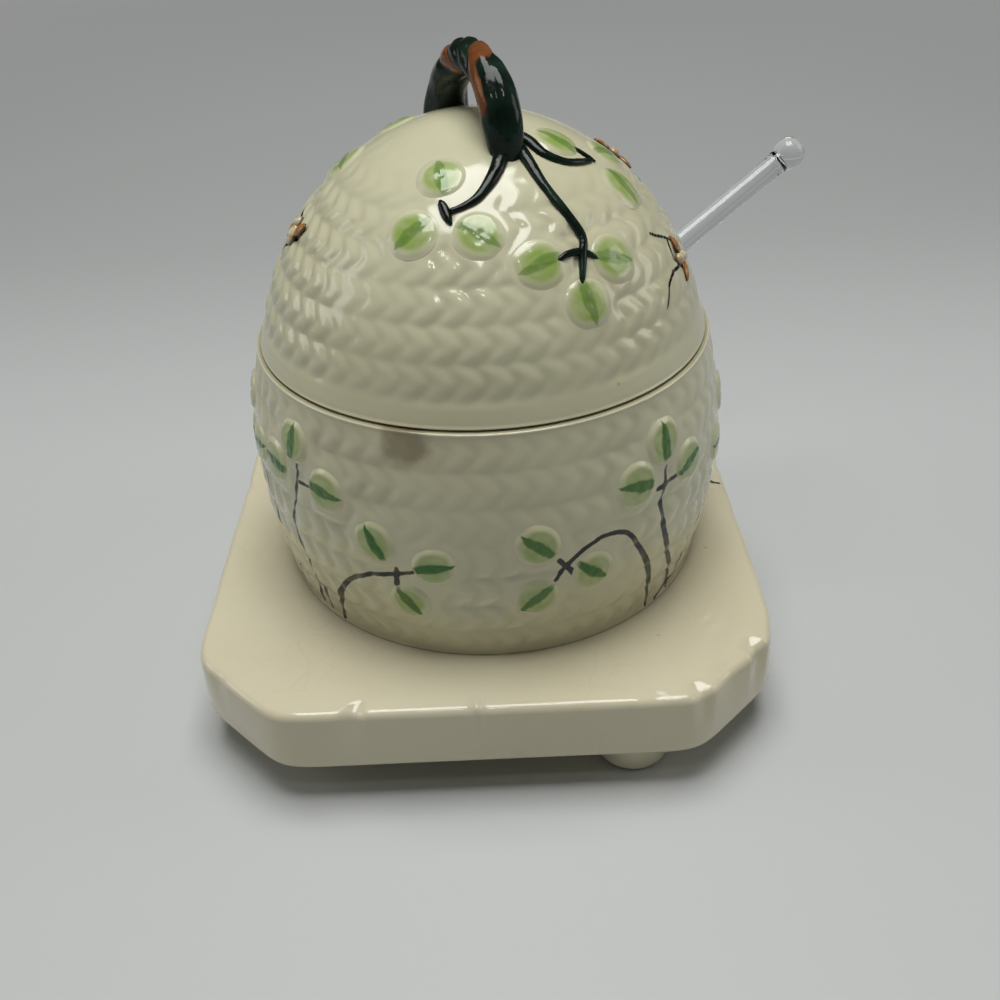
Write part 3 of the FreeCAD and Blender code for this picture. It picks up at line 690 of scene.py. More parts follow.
def stand_glaze(name, finish, painted):
    """Yellower cream glaze; the plate is rippled and has a painted line, the feet are plain."""
    material, graph, shader, coords = fresh_material(name)
    base = glaze_body(graph, coords, finish.stand_colour, finish.stand_warm)
    if painted:
        ragged = graph.painted("ink") + graph.noise(coords, 900.0, 2.0) * 0.5 - 0.25
        base = graph.mix(ragged.ease(0.16, -0.14) * 0.9, base, colour4(finish.ink_colour))
        glaze_gloss(graph, shader, coords, base, 120.0, 0.4)
    else:
        glaze_gloss(graph, shader, coords, base)
    return material


def clover_glaze(finish):
    """Leaf relief under glaze: a thin green wash with one darker brush dab, paler on the raised edge."""
    material, graph, shader, coords = fresh_material("clover_glaze")
    along = graph.painted("leaf_along")
    across = graph.painted("leaf_across")
    tone = graph.painted("tone")
    lean = graph.painted("lean")
    grain = graph.noise(coords, 420.0, 3.0)
    base = glaze_body(graph, coords, finish.hive_colour, finish.hive_warm, 0.0)
    reach = (along * along + across * across).math("SQRT")
    blotch = graph.noise(coords, 260.0, 3.0)
    wash = (reach + (blotch - 0.5) * 0.7).ease(1.02, 0.60) * (blotch.ease(0.30, 0.66) * 0.5 + 0.5)
    base = graph.mix(wash * (0.94 - tone * 0.10), base, colour4(finish.wash_colour))
    slid = abs(across - along * lean + (grain - 0.5) * 0.30)
    width = 0.30 - (along + 0.1) * (along + 0.1) * 0.26
    dab = (slid / width).ease(1.15, 0.62) * along.ease(1.02, 0.8) * along.ease(-1.0, -0.7)
    base = graph.mix(dab * (tone * 0.62 + 0.36), base, colour4(finish.dab_colour))
    glaze_gloss(graph, shader, coords, base)
    return material


def branch_glaze(finish):
    """Bottle green to black glaze with rust brown strands."""
    material, graph, shader, coords = fresh_material("branch_glaze")
    cloud = graph.noise(coords, 190.0, 3.0).ease(0.3, 0.75)
    dark = graph.mix(cloud, colour4(finish.branch_dark), colour4(finish.branch_green))
    rusty = graph.mix(cloud, colour4(finish.rust_colour), colour4(finish.rust_colour, 0.55))
    grain = graph.noise(coords, 500.0, 2.0)
    share = (graph.painted("rust") + (grain - 0.5) * 0.5).ease(0.38, 0.62)
    base = graph.mix(share, dark, rusty)
    bump = graph.bump(graph.noise(coords, 300.0), 0.4)
    feed(graph, shader, Base_Color=base, Roughness=grain * 0.1 + 0.08, Specular_IOR_Level=0.28, IOR=1.45,
         Normal=bump)
    return material


def bee_glaze(finish):
    """A cream body banded with orange and orange wings, both with a fine dark outline."""
    material, graph, shader, coords = fresh_material("bee_glaze")
    grain = graph.noise(coords, 500.0, 2.0)
    wing = graph.mix(grain.ease(0.45, 0.8), colour4(finish.bee_colour), colour4(finish.hive_warm, 0.8))
    bands = (graph.painted("leaf_along") * 3.2).math("SINE").ease(0.0, 0.7)
    body = graph.mix(bands * 0.5, colour4(finish.hive_warm), colour4(finish.bee_colour))
    base = graph.mix(graph.painted("body_part"), wing, body)
    outline = graph.painted("rise").ease(0.30 * MM, 0.02 * MM)
    base = graph.mix(outline * 0.75, base, colour4(finish.ink_colour, 2.0))
    glaze_gloss(graph, shader, coords, base)
    return material


def dipper_glass(finish):
    """Clear lampworked glass."""
    material, graph, shader, coords = fresh_material("dipper_glass")
    feed(graph, shader, Base_Color=colour4(finish.glass_colour), Transmission_Weight=1.0, IOR=1.47,
         Roughness=graph.noise(coords, 120.0) * 0.03 + 0.005)
    return material


def floor_finish(finish):
    """Pale tabletop with painted shade that makes it greyer behind the pot, painted light a little paler
    beyond, and a glow that keeps it evenly pale far away.
    """
    material, graph, shader, coords = fresh_material("tabletop")
    behind = graph.add("ShaderNodeSeparateXYZ", None, {0: coords}, "Y")
    # Painted shade behind the pot, then painted light further back, where less lamp light reaches.
    base = graph.mix(behind.ease(0.06, 0.26), colour4(finish.floor_colour),
                     colour4(finish.floor_colour, 0.80))
    base = graph.mix(behind.ease(0.24, 0.70), base, colour4(finish.floor_colour, 1.04))
    far = graph.add("ShaderNodeVectorMath", {"operation": "LENGTH"}, {0: coords}, "Value").ease(0.45, 1.6)
    glow = graph.mix(far, (0.0, 0.0, 0.0, 1.0), (0.30, 0.305, 0.30, 1.0))
    feed(graph, shader, Base_Color=base, Roughness=0.55, Emission_Color=glow, Emission_Strength=1.0)
    return material


# Sizes and colours that a user would change

def length(label, note, default):
    return FloatProperty(name=label, description=note, default=default, unit="LENGTH", precision=5, min=0.0)


def hue(label, note, default):
    return FloatVectorProperty(name=label, description=note, default=default, subtype="COLOR",
                               min=0.0, max=1.0)


class HoneyPotShape(bpy.types.PropertyGroup):
    """Sizes of the dressed pot."""
    row_depth: length("Row depth", "Depth of the grooves between braided rows", 0.62 * MM)
    lobe_depth: length("Lobe depth", "Depth of the grooves between the lobes of a row", 0.46 * MM)
    lobe_pitch: length("Lobe pitch", "Distance between lobes along a row", 5.1 * MM)
    lobe_slant: FloatProperty(name="Lobe slant", description="Turn of a lobe from a row's middle to its edge",
                              default=3.4, subtype="ANGLE")
    hand_wobble: length("Hand wobble", "Unevenness of the modelled walls", 0.35 * MM)
    leaf_radius: length("Leaf radius", "Radius of a clover leaf", 4.5 * MM)
    leaf_rise: length("Leaf rise", "Height of a clover leaf over the wall", 0.8 * MM)
    rim_notch: length("Rim notch", "Depth of the hewn notches in the stand's rim", 1.5 * MM)
    branch_radius: length("Branch radius", "Radius of the handle at its top", 3.25 * MM)
    key_power: FloatProperty(name="Key power", description="Power of the soft light overhead", default=7.1,
                             unit="POWER")


class HoneyPotFinish(bpy.types.PropertyGroup):
    """Colours of the dressed pot."""
    hive_colour: hue("Hive glaze", "Cream glaze of the pot and lid", (0.645, 0.63, 0.43))
    hive_warm: hue("Hive glaze, warm", "Warmer patches of the cream glaze", (0.61, 0.57, 0.38))
    pooled_colour: hue("Pooled glaze", "Glaze that gathers in the grooves", (0.40, 0.38, 0.25))
    stand_colour: hue("Stand glaze", "Yellower glaze of the stand", (0.70, 0.65, 0.475))
    stand_warm: hue("Stand glaze, warm", "Warmer patches of the stand's glaze", (0.66, 0.60, 0.41))
    wash_colour: hue("Leaf wash", "Thin green on the leaves", (0.27, 0.40, 0.07))
    dab_colour: hue("Leaf dab", "Brush dab on the leaves", (0.024, 0.14, 0.002))
    ink_colour: hue("Stem paint", "Brushed stems", (0.006, 0.007, 0.004))
    branch_dark: hue("Branch, dark", "Dark glaze of the branch", (0.004, 0.007, 0.005))
    branch_green: hue("Branch, green", "Bottle green of the branch", (0.012, 0.032, 0.020))
    rust_colour: hue("Branch, rust", "Rust brown strands of the branch", (0.22, 0.075, 0.025))
    bee_colour: hue("Bee", "Orange brown of the bees", (0.42, 0.17, 0.035))
    glass_colour: hue("Glass", "Tint of the dipper", (0.93, 0.95, 0.94))
    floor_colour: hue("Floor", "Pale tabletop", (0.565, 0.58, 0.57))


class PieceOperator:
    """What the piece operators share."""
    bl_options = {"REGISTER", "UNDO"}

    @property
    def shape(self):
        return bpy.context.scene.honey_pot_shape

    @property
    def finish(self):
        return bpy.context.scene.honey_pot_finish


def braided_wall(name, arc, rings, walked, row_of, relief, middles, strokes, grime, shape, material):
    """A turned wall with strokes painted on it and a braid pressed into it, smooth under the leaves."""
    obj, spread, ring_of, vertices = lathe(name, rings, COLUMNS)
    skin = np.asarray(walked)[ring_of] >= 0
    ink = np.full(len(vertices), FAR_FROM_INK)
    ink[skin] = ink_distance(vertices[skin], arc, strokes)
    lobes = np.array([max(8, round(FULL_TURN * radius / shape.lobe_pitch)) for radius in middles])
    relief = np.asarray(relief)[ring_of] * clear_of_leaves(vertices, arc, shape.leaf_radius)
    paint(obj, "ink", ink)
    # Painted shade under the lid's rim, as a share from 0 to 1.
    paint(obj, "grime", np.asarray(grime)[ring_of])
    pressed = {"turn": spread, "row_place": np.asarray(row_of)[ring_of], "row_lobes": lobes[ring_of],
               "relief": relief, "skin": skin.astype(float)}
    for label, values in pressed.items():
        paint(obj, label, values)
    grow(obj, bpy.data.node_groups.get("braided_rows") or braided_rows_tree(),
         {"Row Depth": shape.row_depth, "Lobe Depth": shape.lobe_depth, "Slant": shape.lobe_slant,
          "Hand Wobble": shape.hand_wobble, "Material": material})
    for label in pressed:
        obj.data.attributes.remove(obj.data.attributes[label])
    return obj


def ramp(value, low, high):
    """A soft step from 0 to 1."""
    t = min(1.0, max(0.0, (value - low) / (high - low)))
    return t * t * (3 - 2 * t)


class HONEYPOT_OT_hive_pot(PieceOperator, bpy.types.Operator):
    """Braided pot with a rounded lip and a smooth inside"""
    bl_idname = "honey_pot.hive_pot"
    bl_label = "Braided pot"

    def execute(self, context):
        arc = POT_ARC
        lip, roll, cove = 0.4 * MM, 0.7 * MM, 2.6 * MM
        steps = 112
        top = arc.length - lip
        rings = [(0.0, PLATE_TOP), (44.0 * MM, PLATE_TOP)]
        walked = [-1.0, -1.0]
        for index in range(steps + 1):
            place = top * index / steps
            radius, height = arc.section(place)
            flare = EDGE_FLARE * (1 - ramp(place, 0.0, 1.2 * MM))
            rings.append((radius + flare, height))
            walked.append(place)
        outer_lip = rings[-1][0]
        # Painted shade for the top of the lip and the ledge inside it, which lie under the lid's rim.
        grime = [0.0] * len(rings)
        rings += rounded((outer_lip - lip, POT_TOP - lip), lip, 15, 90, 5)
        grime += [0.0, 0.0, 0.0, 0.15, 0.5]
        rings += rounded((MOUTH_RADIUS + roll, POT_TOP - roll), roll, 90, 180, 5)
        grime += [1.0] * 5
        floor = PLATE_TOP + POT_FLOOR
        inner = TurnedArc((41.2 * MM, floor), (45.4 * MM, POT_BELLY), (MOUTH_RADIUS, POT_TOP))
        for place in np.linspace(inner.length - 1.2 * MM, 3.0 * MM, 18):
            rings.append(inner.section(place))
        rings += rounded((rings[-1][0] - cove, floor + cove), cove, 0, -90, 6)
        rings += [(20.0 * MM, floor), (0.0, floor)]
        walked += [-1.0] * (len(rings) - len(walked))
        grime += [0.0] * (len(rings) - len(grime))
        row_height = arc.length / POT_ROWS
        rows = [max(0.0, place) / row_height for place in walked]
        relief = [0.0 if place < 0 else ramp(place, 0.8 * MM, 4.0 * MM)
                  * (1 - ramp(place, top - 2.6 * MM, top)) for place in walked]
        middles = [arc.section((math.floor(row) + 0.5) * row_height)[0] for row in rows]
        strokes = POT_STROKES + half_turned(POT_STROKES[:REPEATED_STROKES])
        obj = braided_wall("braided_pot", arc, rings, walked, rows, relief, middles, strokes, grime,
                           self.shape, hive_glaze("pot_glaze", self.finish, True))
        hand_over(obj, "pot", ["pot_wall"])
        return {"FINISHED"}


class HONEYPOT_OT_hive_lid(PieceOperator, bpy.types.Operator):
    """Braided dome with its locating flange, notched for the dipper"""
    bl_idname = "honey_pot.hive_lid"
    bl_label = "Braided lid"

    def execute(self, context):
        arc = LID_ARC
        edge, roll = 0.4 * MM, 0.8 * MM
        steps = 120
        top = arc.length - edge
        inside = TurnedArc((FLANGE_INSIDE, LID_RIM + LID_BAND), arc.section(arc.length / 2, -LID_THICKNESS),
                           (0.0, LID_CROWN - LID_THICKNESS))
        rings = [(0.0, LID_CROWN - LID_THICKNESS)]
        rings += [inside.section(place) for place in np.linspace(inside.length - 1.0 * MM, 0.0, 26)]
        rings += rounded((FLANGE_INSIDE + roll, FLANGE_FOOT + roll), roll, 180, 270, 5)
        rings += rounded((FLANGE_RADIUS - roll, FLANGE_FOOT + roll), roll, 270, 360, 5)
        rings += [(FLANGE_RADIUS, LID_RIM - edge), (FLANGE_RADIUS + edge, LID_RIM)]
        start = arc.section(edge, EDGE_FLARE)
        rings += rounded((start[0] - edge, LID_RIM + edge), edge, 270, 352, 6)
        walked = [-1.0] * len(rings)
        for index in range(steps + 1):
            place = edge + (top - edge) * index / steps
            rings.append(arc.section(place, EDGE_FLARE * (1 - ramp(place, 0.0, LID_BAND))))
            walked.append(place)
        rings.append((0.0, LID_CROWN))
        walked.append(arc.length)
        rows = [max(0.0, place - LID_BAND) / LID_ROW for place in walked]
        crown = arc.length - 12.0 * MM
        relief = [0.0 if place < 0 else ramp(place, LID_BAND - 1.0 * MM, LID_BAND + 1.4 * MM)
                  * (1 - 0.9 * ramp(place, arc.length - 34.0 * MM, arc.length - 20.0 * MM))
                  * (1 - ramp(place, crown - 6.0 * MM, crown)) for place in walked]
        middles = [arc.section(min(LID_BAND + (math.floor(row) + 0.5) * LID_ROW, arc.length))[0]
                   for row in rows]
        no_seam_shade = [0.0] * len(rings)
        obj = braided_wall("braided_lid", arc, rings, walked, rows, relief, middles, LID_STROKES, no_seam_shade,
                           self.shape, hive_glaze("lid_glaze", self.finish, False))
        self.notch(obj)
        hand_over(obj, "lid", ["lid_dome"])
        return {"FINISHED"}

    def notch(self, obj):
        """Cut the slot that the dipper leans in."""
        axis, point = dipper_axis()
        half, reach, drop = NOTCH_HALF_WIDTH, NOTCH_REACH, NOTCH_DROP
        across = Vector((0, 0, 1)).cross(axis).normalized()
        above = axis.cross(across)
        lift = point + axis * ((NOTCH_MIDDLE - math.hypot(point.x, point.y)) / math.hypot(axis.x, axis.y))
        outline = rounded((0.0, 0.0), half, 0, 180, 25) + [(-half, -drop), (half, -drop)]
        vertices = [lift + across * x + above * y + axis * z for z in (-reach, reach) for x, y in outline]
        cutter = new_piece("notch_cutter", vertices, tube_faces(0, 2, len(outline)))
        cut = obj.modifiers.new("dipper_notch", "BOOLEAN")
        cut.operation = "DIFFERENCE"
        cut.solver = "EXACT"
        cut.object = cutter
        settle(obj)
        bpy.data.objects.remove(cutter)


def dipper_axis():
    """The dipper's direction, up and out, and the middle of its knob."""
    low, high = (sum(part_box(node), Vector()) / 2 for node in ("dipper_bulb", "dipper_knob"))
    return (high - low).normalized(), high


def leaf_relief(rise, edge):
    """A clover leaf of unit radius: a dome and a vein inside an edge raised by a share of its rise."""
    columns = 48
    shares = (0.14, 0.28, 0.42, 0.54, 0.64, 0.72, 0.79, 0.86, 0.93, 1.0, 1.06, 1.12, 1.17)
    vertices = [(0, 0)]
    heights = [0.5 * rise]
    for share in shares:
        for column in range(columns):
            turn = FULL_TURN * column / columns
            swing = (turn + math.pi) % FULL_TURN - math.pi
            outline = 1.0 - 0.07 * math.exp(-(swing / 0.32) ** 2) - 0.10 * (0.5 - 0.5 * math.cos(turn)) ** 4
            u, v = share * outline * math.cos(turn), share * outline * math.sin(turn)
            plateau = 0.66 * (1 - ramp(share, 0.40, 1.12))
            ring = edge * math.exp(-((share - 0.82) / 0.11) ** 2)
            vein = 0.16 * math.exp(-(v / 0.09) ** 2) * max(0.0, 1 - share ** 3)
            sunk = 0.40 * ramp(share, 0.90, 1.12) + 0.9 * ramp(share, 1.12, 1.17)
            vertices.append((u, v))
            heights.append(rise * (plateau + ring + vein - sunk))
    vertices.append((0, 0))
    heights.append(RELIEF_UNDERSIDE)
    return relief_object("leaf_relief", vertices, heights, relief_faces(0, len(shares), columns))


def relief_object(name, vertices, heights, faces):
    """A flat unit relief whose heights are painted on it, to be wrapped onto a wall."""
    obj = new_piece(name, [(u, v, 0.0) for u, v in vertices], faces)
    paint(obj, "rise", heights)
    paint(obj, "leaf_along", [u for u, _ in vertices])
    paint(obj, "leaf_across", [v for _, v in vertices])
    return obj


def wrap_reliefs(name, relief, arc, spots, material):
    """Copies of a relief on a wall; a spot is azimuth, length walked, heading, two sizes, tone and lean."""
    obj = new_piece(name, [arc.place(spot[0], spot[1]) for spot in spots], [])
    paint(obj, "outward", [arc.axes(spot[0], spot[1])[2] for spot in spots], "FLOAT_VECTOR")
    paint(obj, "heading", [spot[2] for spot in spots], "FLOAT_VECTOR")
    paint(obj, "size", [(spot[3], spot[4], 1.0) for spot in spots], "FLOAT_VECTOR")
    paint(obj, "tone", [spot[5] for spot in spots])
    paint(obj, "lean", [spot[6] for spot in spots])
    grow(obj, bpy.data.node_groups.get("sprig_reliefs") or sprig_tree(),
         {"Relief": relief, "Arc Radius": arc.radius, "Arc Middle Radius": float(arc.centre[0]),
          "Arc Middle Height": float(arc.centre[1]), "Material": material})
    return obj


class HONEYPOT_OT_clover_sprigs(PieceOperator, bpy.types.Operator):
    """Clover sprigs in low relief on the pot and the lid"""
    bl_idname = "honey_pot.clover_sprigs"
    bl_label = "Clover sprigs"

    def execute(self, context):
        material = clover_glaze(self.finish)
        draws = np.random.default_rng(11)
        walls = (("pot", POT_ARC, 0.95, 0.9, 0.34), ("lid", LID_ARC, 0.2, 0.72, 0.10))
        for body, arc, tone, rise, edge in walls:
            relief = leaf_relief(self.shape.leaf_rise * rise, edge)
            for node, joint, leaves in leaf_spots(arc):
                spots = [self.spot(arc, joint, leaf, tone, draws) for leaf in leaves]
                obj = wrap_reliefs(f"{node}_leaves", relief, arc, spots, material)
                hand_over(obj, body, [node])
            bpy.data.objects.remove(relief)
        return {"FINISHED"}

    def spot(self, arc, joint, leaf, tone, draws):
        """Where one leaf lies: it points away from its sprig's joint."""
        away = arc.place(*leaf) - arc.place(*joint)
        size = self.shape.leaf_radius * draws.uniform(0.95, 1.05)
        return (*leaf, away.normalized(), size * draws.uniform(1.0, 1.1), size * draws.uniform(0.92, 1.02),
                tone * draws.uniform(0.85, 1.1), draws.uniform(-0.35, 0.35))


class HONEYPOT_OT_bees(PieceOperator, bpy.types.Operator):
    """Small bees on the lid"""
    bl_idname = "honey_pot.bees"
    bl_label = "Bees"

    def execute(self, context):
        material = bee_glaze(self.finish)
        relief = self.bee_relief()
        for node, (azimuth, down, heading) in BEES.items():
            walked = LID_ARC.walk(down)
            level, upslope, _ = LID_ARC.axes(azimuth, walked)
            way = level * math.cos(math.radians(heading)) + upslope * math.sin(math.radians(heading))
            spot = (azimuth, walked, way, MM, MM, 0.0, 0.0)
            obj = wrap_reliefs(f"{node}_relief", relief, LID_ARC, [spot], material)
            hand_over(obj, "lid", [node])
        bpy.data.objects.remove(relief)
        return {"FINISHED"}

    def bee_relief(self):
        """Head, banded tail and two spread wings, in millimetres."""
        lobes = ((1.7, 0.0, 1.25, 1.15, 0, 1.0), (-0.9, 0.0, 2.3, 1.25, 0, 1.0),
                 (0.2, 2.6, 2.3, 1.15, 62, 0.0), (0.2, -2.6, 2.3, 1.15, -62, 0.0))
        vertices, heights, faces, parts = [], [], [], []
        columns = 28
        shares = (0.25, 0.5, 0.7, 0.85, 0.95, 1.0)
        for x, y, length_half, width_half, turn, body in lobes:
            base = len(vertices)
            c, s = math.cos(math.radians(turn)), math.sin(math.radians(turn))
            rise = (1.0 if body else 0.55) * MM
            for share in (0.0, *shares):
                for column in range(columns if share else 1):
                    a = FULL_TURN * column / columns
                    u, v = share * length_half * math.cos(a), share * width_half * math.sin(a)
                    vertices.append((x + c * u - s * v, y + s * u + c * v))
                    heights.append(rise * (math.sqrt(1 - share * share) * 1.3 - 0.3))
                    parts.append(body)
            vertices.append((x, y))
            heights.append(RELIEF_UNDERSIDE)
            parts.append(body)
            faces += relief_faces(base, len(shares), columns)
        obj = relief_object("bee_relief", vertices, heights, faces)
        paint(obj, "body_part", parts)
        return obj


class HONEYPOT_OT_branch(PieceOperator, bpy.types.Operator):
    """Twisted branch handle and the twigs that spread from its front root"""
    bl_idname = "honey_pot.branch"
    bl_label = "Branch handle and twigs"

    def execute(self, context):
        material = branch_glaze(self.finish)
        handle = self.twisted_handle()
        handle.data.materials.append(material)
        hand_over(handle, "lid", ["handle"])
        for node, strokes in TWIG_STROKES.items():
            twig = self.raised_twig(f"{node}_relief", strokes)
            twig.data.materials.append(material)
            hand_over(twig, "lid", [node])
        return {"FINISHED"}

    def twisted_handle(self):
        """Three strands twisted over the arch, thickening into roots at both feet."""
        along = Vector((math.cos(HANDLE_AZIMUTH), math.sin(HANDLE_AZIMUTH), 0))
        up = Vector((0, 0, 1))
        side = up.cross(along)
        reach, arch = HANDLE_REACH, HANDLE_ARCH
        middle = along * HANDLE_SHIFT + up * (LID_CROWN + HANDLE_RISE - arch)
        rings, columns = 150, 72
        top = self.shape.branch_radius
        vertices, rust = [], []
        for ring in range(rings + 1):
            bend = -4.0 + (188.0 * ring / rings)
            angle = math.radians(bend)
            centre = middle + along * (reach * math.cos(angle)) + up * (arch * math.sin(angle))
            out = (along * (arch * math.cos(angle)) + up * (reach * math.sin(angle))).normalized()
            radius = top * (1 + 0.17 * ramp(bend, 100, 140) + 0.17 * ramp(bend, 70, 40))
            radius += 0.9 * MM * ramp(bend, 38, 8)
            radius *= 1 - 0.22 * ramp(bend, 150, 182)
            twist = np.interp(bend, (-4, 30, 52, 66, 100, 122, 184), (-455, -425, -380, -285, -10, 70, 118))
            for column in range(columns):
                around = FULL_TURN * column / columns
                lobe = around - math.radians(twist)
                strand = abs(math.cos(1.5 * lobe)) ** 0.8
                ridge = 0.86 + 0.14 * strand + 0.02 * math.sin(5 * around + bend * 0.11)
                reach_out = out * math.cos(around) + side * math.sin(around)
                flat = 1 - 0.28 * ramp(bend, 140, 184) * max(0.0, math.cos(around))
                vertices.append(centre + reach_out * (radius * flat * min(1.0, ridge)))
                which = round(lobe / (FULL_TURN / 3)) % 3
                painted = 1.0 if which == 0 else 0.0
                inner_left = ramp(0.87 * math.sin(around) - 0.5 * math.cos(around), 0.2, 0.6)
                painted *= 1 - ramp(bend, 106, 122) * (1 - inner_left)
                painted *= ramp(bend, 44, 54) * (1 - ramp(bend, 132, 158))
                rust.append(painted * ramp(strand, 0.1, 0.45))
        obj = new_piece("branch_handle", vertices, tube_faces(0, rings + 1, columns))
        paint(obj, "rust", rust)
        return obj

    def raised_twig(self, name, strokes):
        """Tapering half-round strokes laid on the dome."""
        vertices, faces = [], []
        section = rounded((0.0, 0.0), 1.0, 0, 180, 9) + [(-0.8, -0.9), (0.8, -0.9)]
        count = len(section)
        for stroke in strokes:
            path = stroke_path(stroke, 0.5)
            centres = [LID_ARC.place(azimuth, LID_ARC.walk(down)) for azimuth, down, _ in path]
            base = len(vertices)
            for index, (azimuth, down, width) in enumerate(path):
                _, _, outward = LID_ARC.axes(azimuth, LID_ARC.walk(down))
                ahead = centres[min(index + 1, len(path) - 1)] - centres[max(index - 1, 0)]
                lateral = outward.cross(ahead).normalized()
                end = min(1.0, 0.45 + 0.3 * min(index, len(path) - 1 - index))
                half = max(width, 0.2) * MM * end
                flat = [centres[index] + lateral * (half * x) for x, _ in section]
                rise = 0.62 * half + 0.12 * MM
                lift = np.array([(rise if y > 0 else 0.9 * MM) * y for _, y in section])
                vertices.extend(Vector(p) for p in LID_ARC.project(flat, lift))
            faces += tube_faces(base, len(path), count)
        obj = new_piece(name, vertices, faces)
        paint(obj, "rust", np.zeros(len(vertices)))
        return obj


class HONEYPOT_OT_stand(PieceOperator, bpy.types.Operator):
    """Square stand with cut corners, a hewn rim and four round feet"""
    bl_idname = "honey_pot.stand"
    bl_label = "Stand and feet"

    def execute(self, context):
        low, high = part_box("stand_plate")
        centre = (low + high) / 2
        half_x, half_y = (high.x - low.x) / 2, (high.y - low.y) / 2
        columns = 720
        turns = np.arange(columns) * FULL_TURN / columns
        reach = self.outline(turns, half_x, half_y)
        notches = self.notches(turns)
        top, bottom = high.z, low.z
        profile = self.profile(top, bottom)
        vertices = [(centre.x, centre.y, top - 0.5 * MM)]
        for inset, height, hewn in profile:
            radius = reach - inset - hewn * notches * self.shape.rim_notch
            drop = hewn * notches * self.shape.rim_notch * (0.8 if height > top - 2 * MM else 0.0)
            for turn, r, d in zip(turns, radius, drop):
                vertices.append((centre.x + r * math.cos(turn), centre.y + r * math.sin(turn), height - d))
        vertices.append((centre.x, centre.y, bottom))
        count = len(profile)
        faces = fan_faces(0, 1, columns, True) + strip_faces(1, count, columns, True)
        faces += fan_faces(len(vertices) - 1, 1 + (count - 1) * columns, columns)
        obj = new_piece("hewn_stand", vertices, faces)
        points = np.array([tuple(v) for v in vertices])
        paint(obj, "ink", self.crack(points))
        obj.data.materials.append(stand_glaze("stand_glaze", self.finish, True))
        hand_over(obj, "pot", ["stand_plate"])
        material = stand_glaze("foot_glaze", self.finish, False)
        for node in ("foot_front", "foot_right", "foot_back", "foot_left"):
            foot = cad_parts[node]
            foot.data.materials.clear()
            foot.data.materials.append(material)
        return {"FINISHED"}

    def outline(self, turns, half_x, half_y):
        """Distance to the edge of a square with cut corners, its corners softened."""
        c, s = np.abs(np.cos(turns)), np.abs(np.sin(turns))
        diagonal = half_x + half_y - CORNER_CUT
        gauges = np.stack([c / half_x, s / half_y, (c + s) / diagonal])
        return 1.0 / np.sum(gauges ** CORNER_SHARPNESS, 0) ** (1 / CORNER_SHARPNESS)

    def notches(self, turns):
        """Shallow nicks and facets along the rim, from 0 to 1."""
        degrees = np.degrees(turns)
        depth = np.zeros(len(turns))
        for at, width, share in RIM_NICKS:
            away = np.abs((degrees - at + 180) % 360 - 180) / width
            depth = np.maximum(depth, share * np.clip(1.15 - away, 0, 1))
        waves = 0.08 + 0.05 * np.sin(9 * turns + 0.7) + 0.03 * np.sin(23 * turns + 2.1)
        return np.clip(depth + waves, 0, 1)

    def profile(self, top, bottom):
        """Rings from the top, over the rim and under the edge: inset, height and how far hewn."""
        edge, under = 1.7 * MM, 1.8 * MM
        rings = [(45.0 * MM, top - 0.05 * MM, 0.0)]
        for inset in np.linspace(14.5, 3.0, 24):
            dip = np.interp(inset, (3.0, 4.0, 5.0, 6.0, 7.0, 8.4, 10.0, 11.6, 13.0, 14.5),
                            (0.02, 0.04, 0.10, 0.18, 0.26, 0.34, 0.36, 0.30, 0.15, 0.05))
            hewn = np.interp(inset, (3.0, 4.0, 5.0, 6.0), (0.6, 0.3, 0.1, 0.0))
            rings.append((inset * MM, top - dip * MM, hewn))
        rings += [(*point, 1.0) for point in rounded((edge, top - edge), edge, 90, 180, 8)]
        low = bottom + under
        for share in (0.2, 0.45, 0.7, 1.0):
            rings.append((0.0, top - edge + (low - top + edge) * share, (1 - share) ** 1.5))
        rings += [(*point, 0.0) for point in rounded((under, low), under, 195, 270, 6)]
        rings += [(8.0 * MM, bottom, 0.0), (30.0 * MM, bottom, 0.0)]
        return rings

    def crack(self, points):
        """A short dark brush line on the plate behind the pot, as a distance in millimetres."""
        path = np.array([(46.5, 17.0), (49.0, 14.6), (51.4, 15.4), (53.6, 12.6), (55.2, 12.0)])
        nearest = line_distance(points[:, :2] / MM, path, [CRACK_HALF_WIDTH] * len(path))
        return np.where(points[:, 2] > PLATE_TOP - 2 * MM, nearest, FAR_FROM_INK)


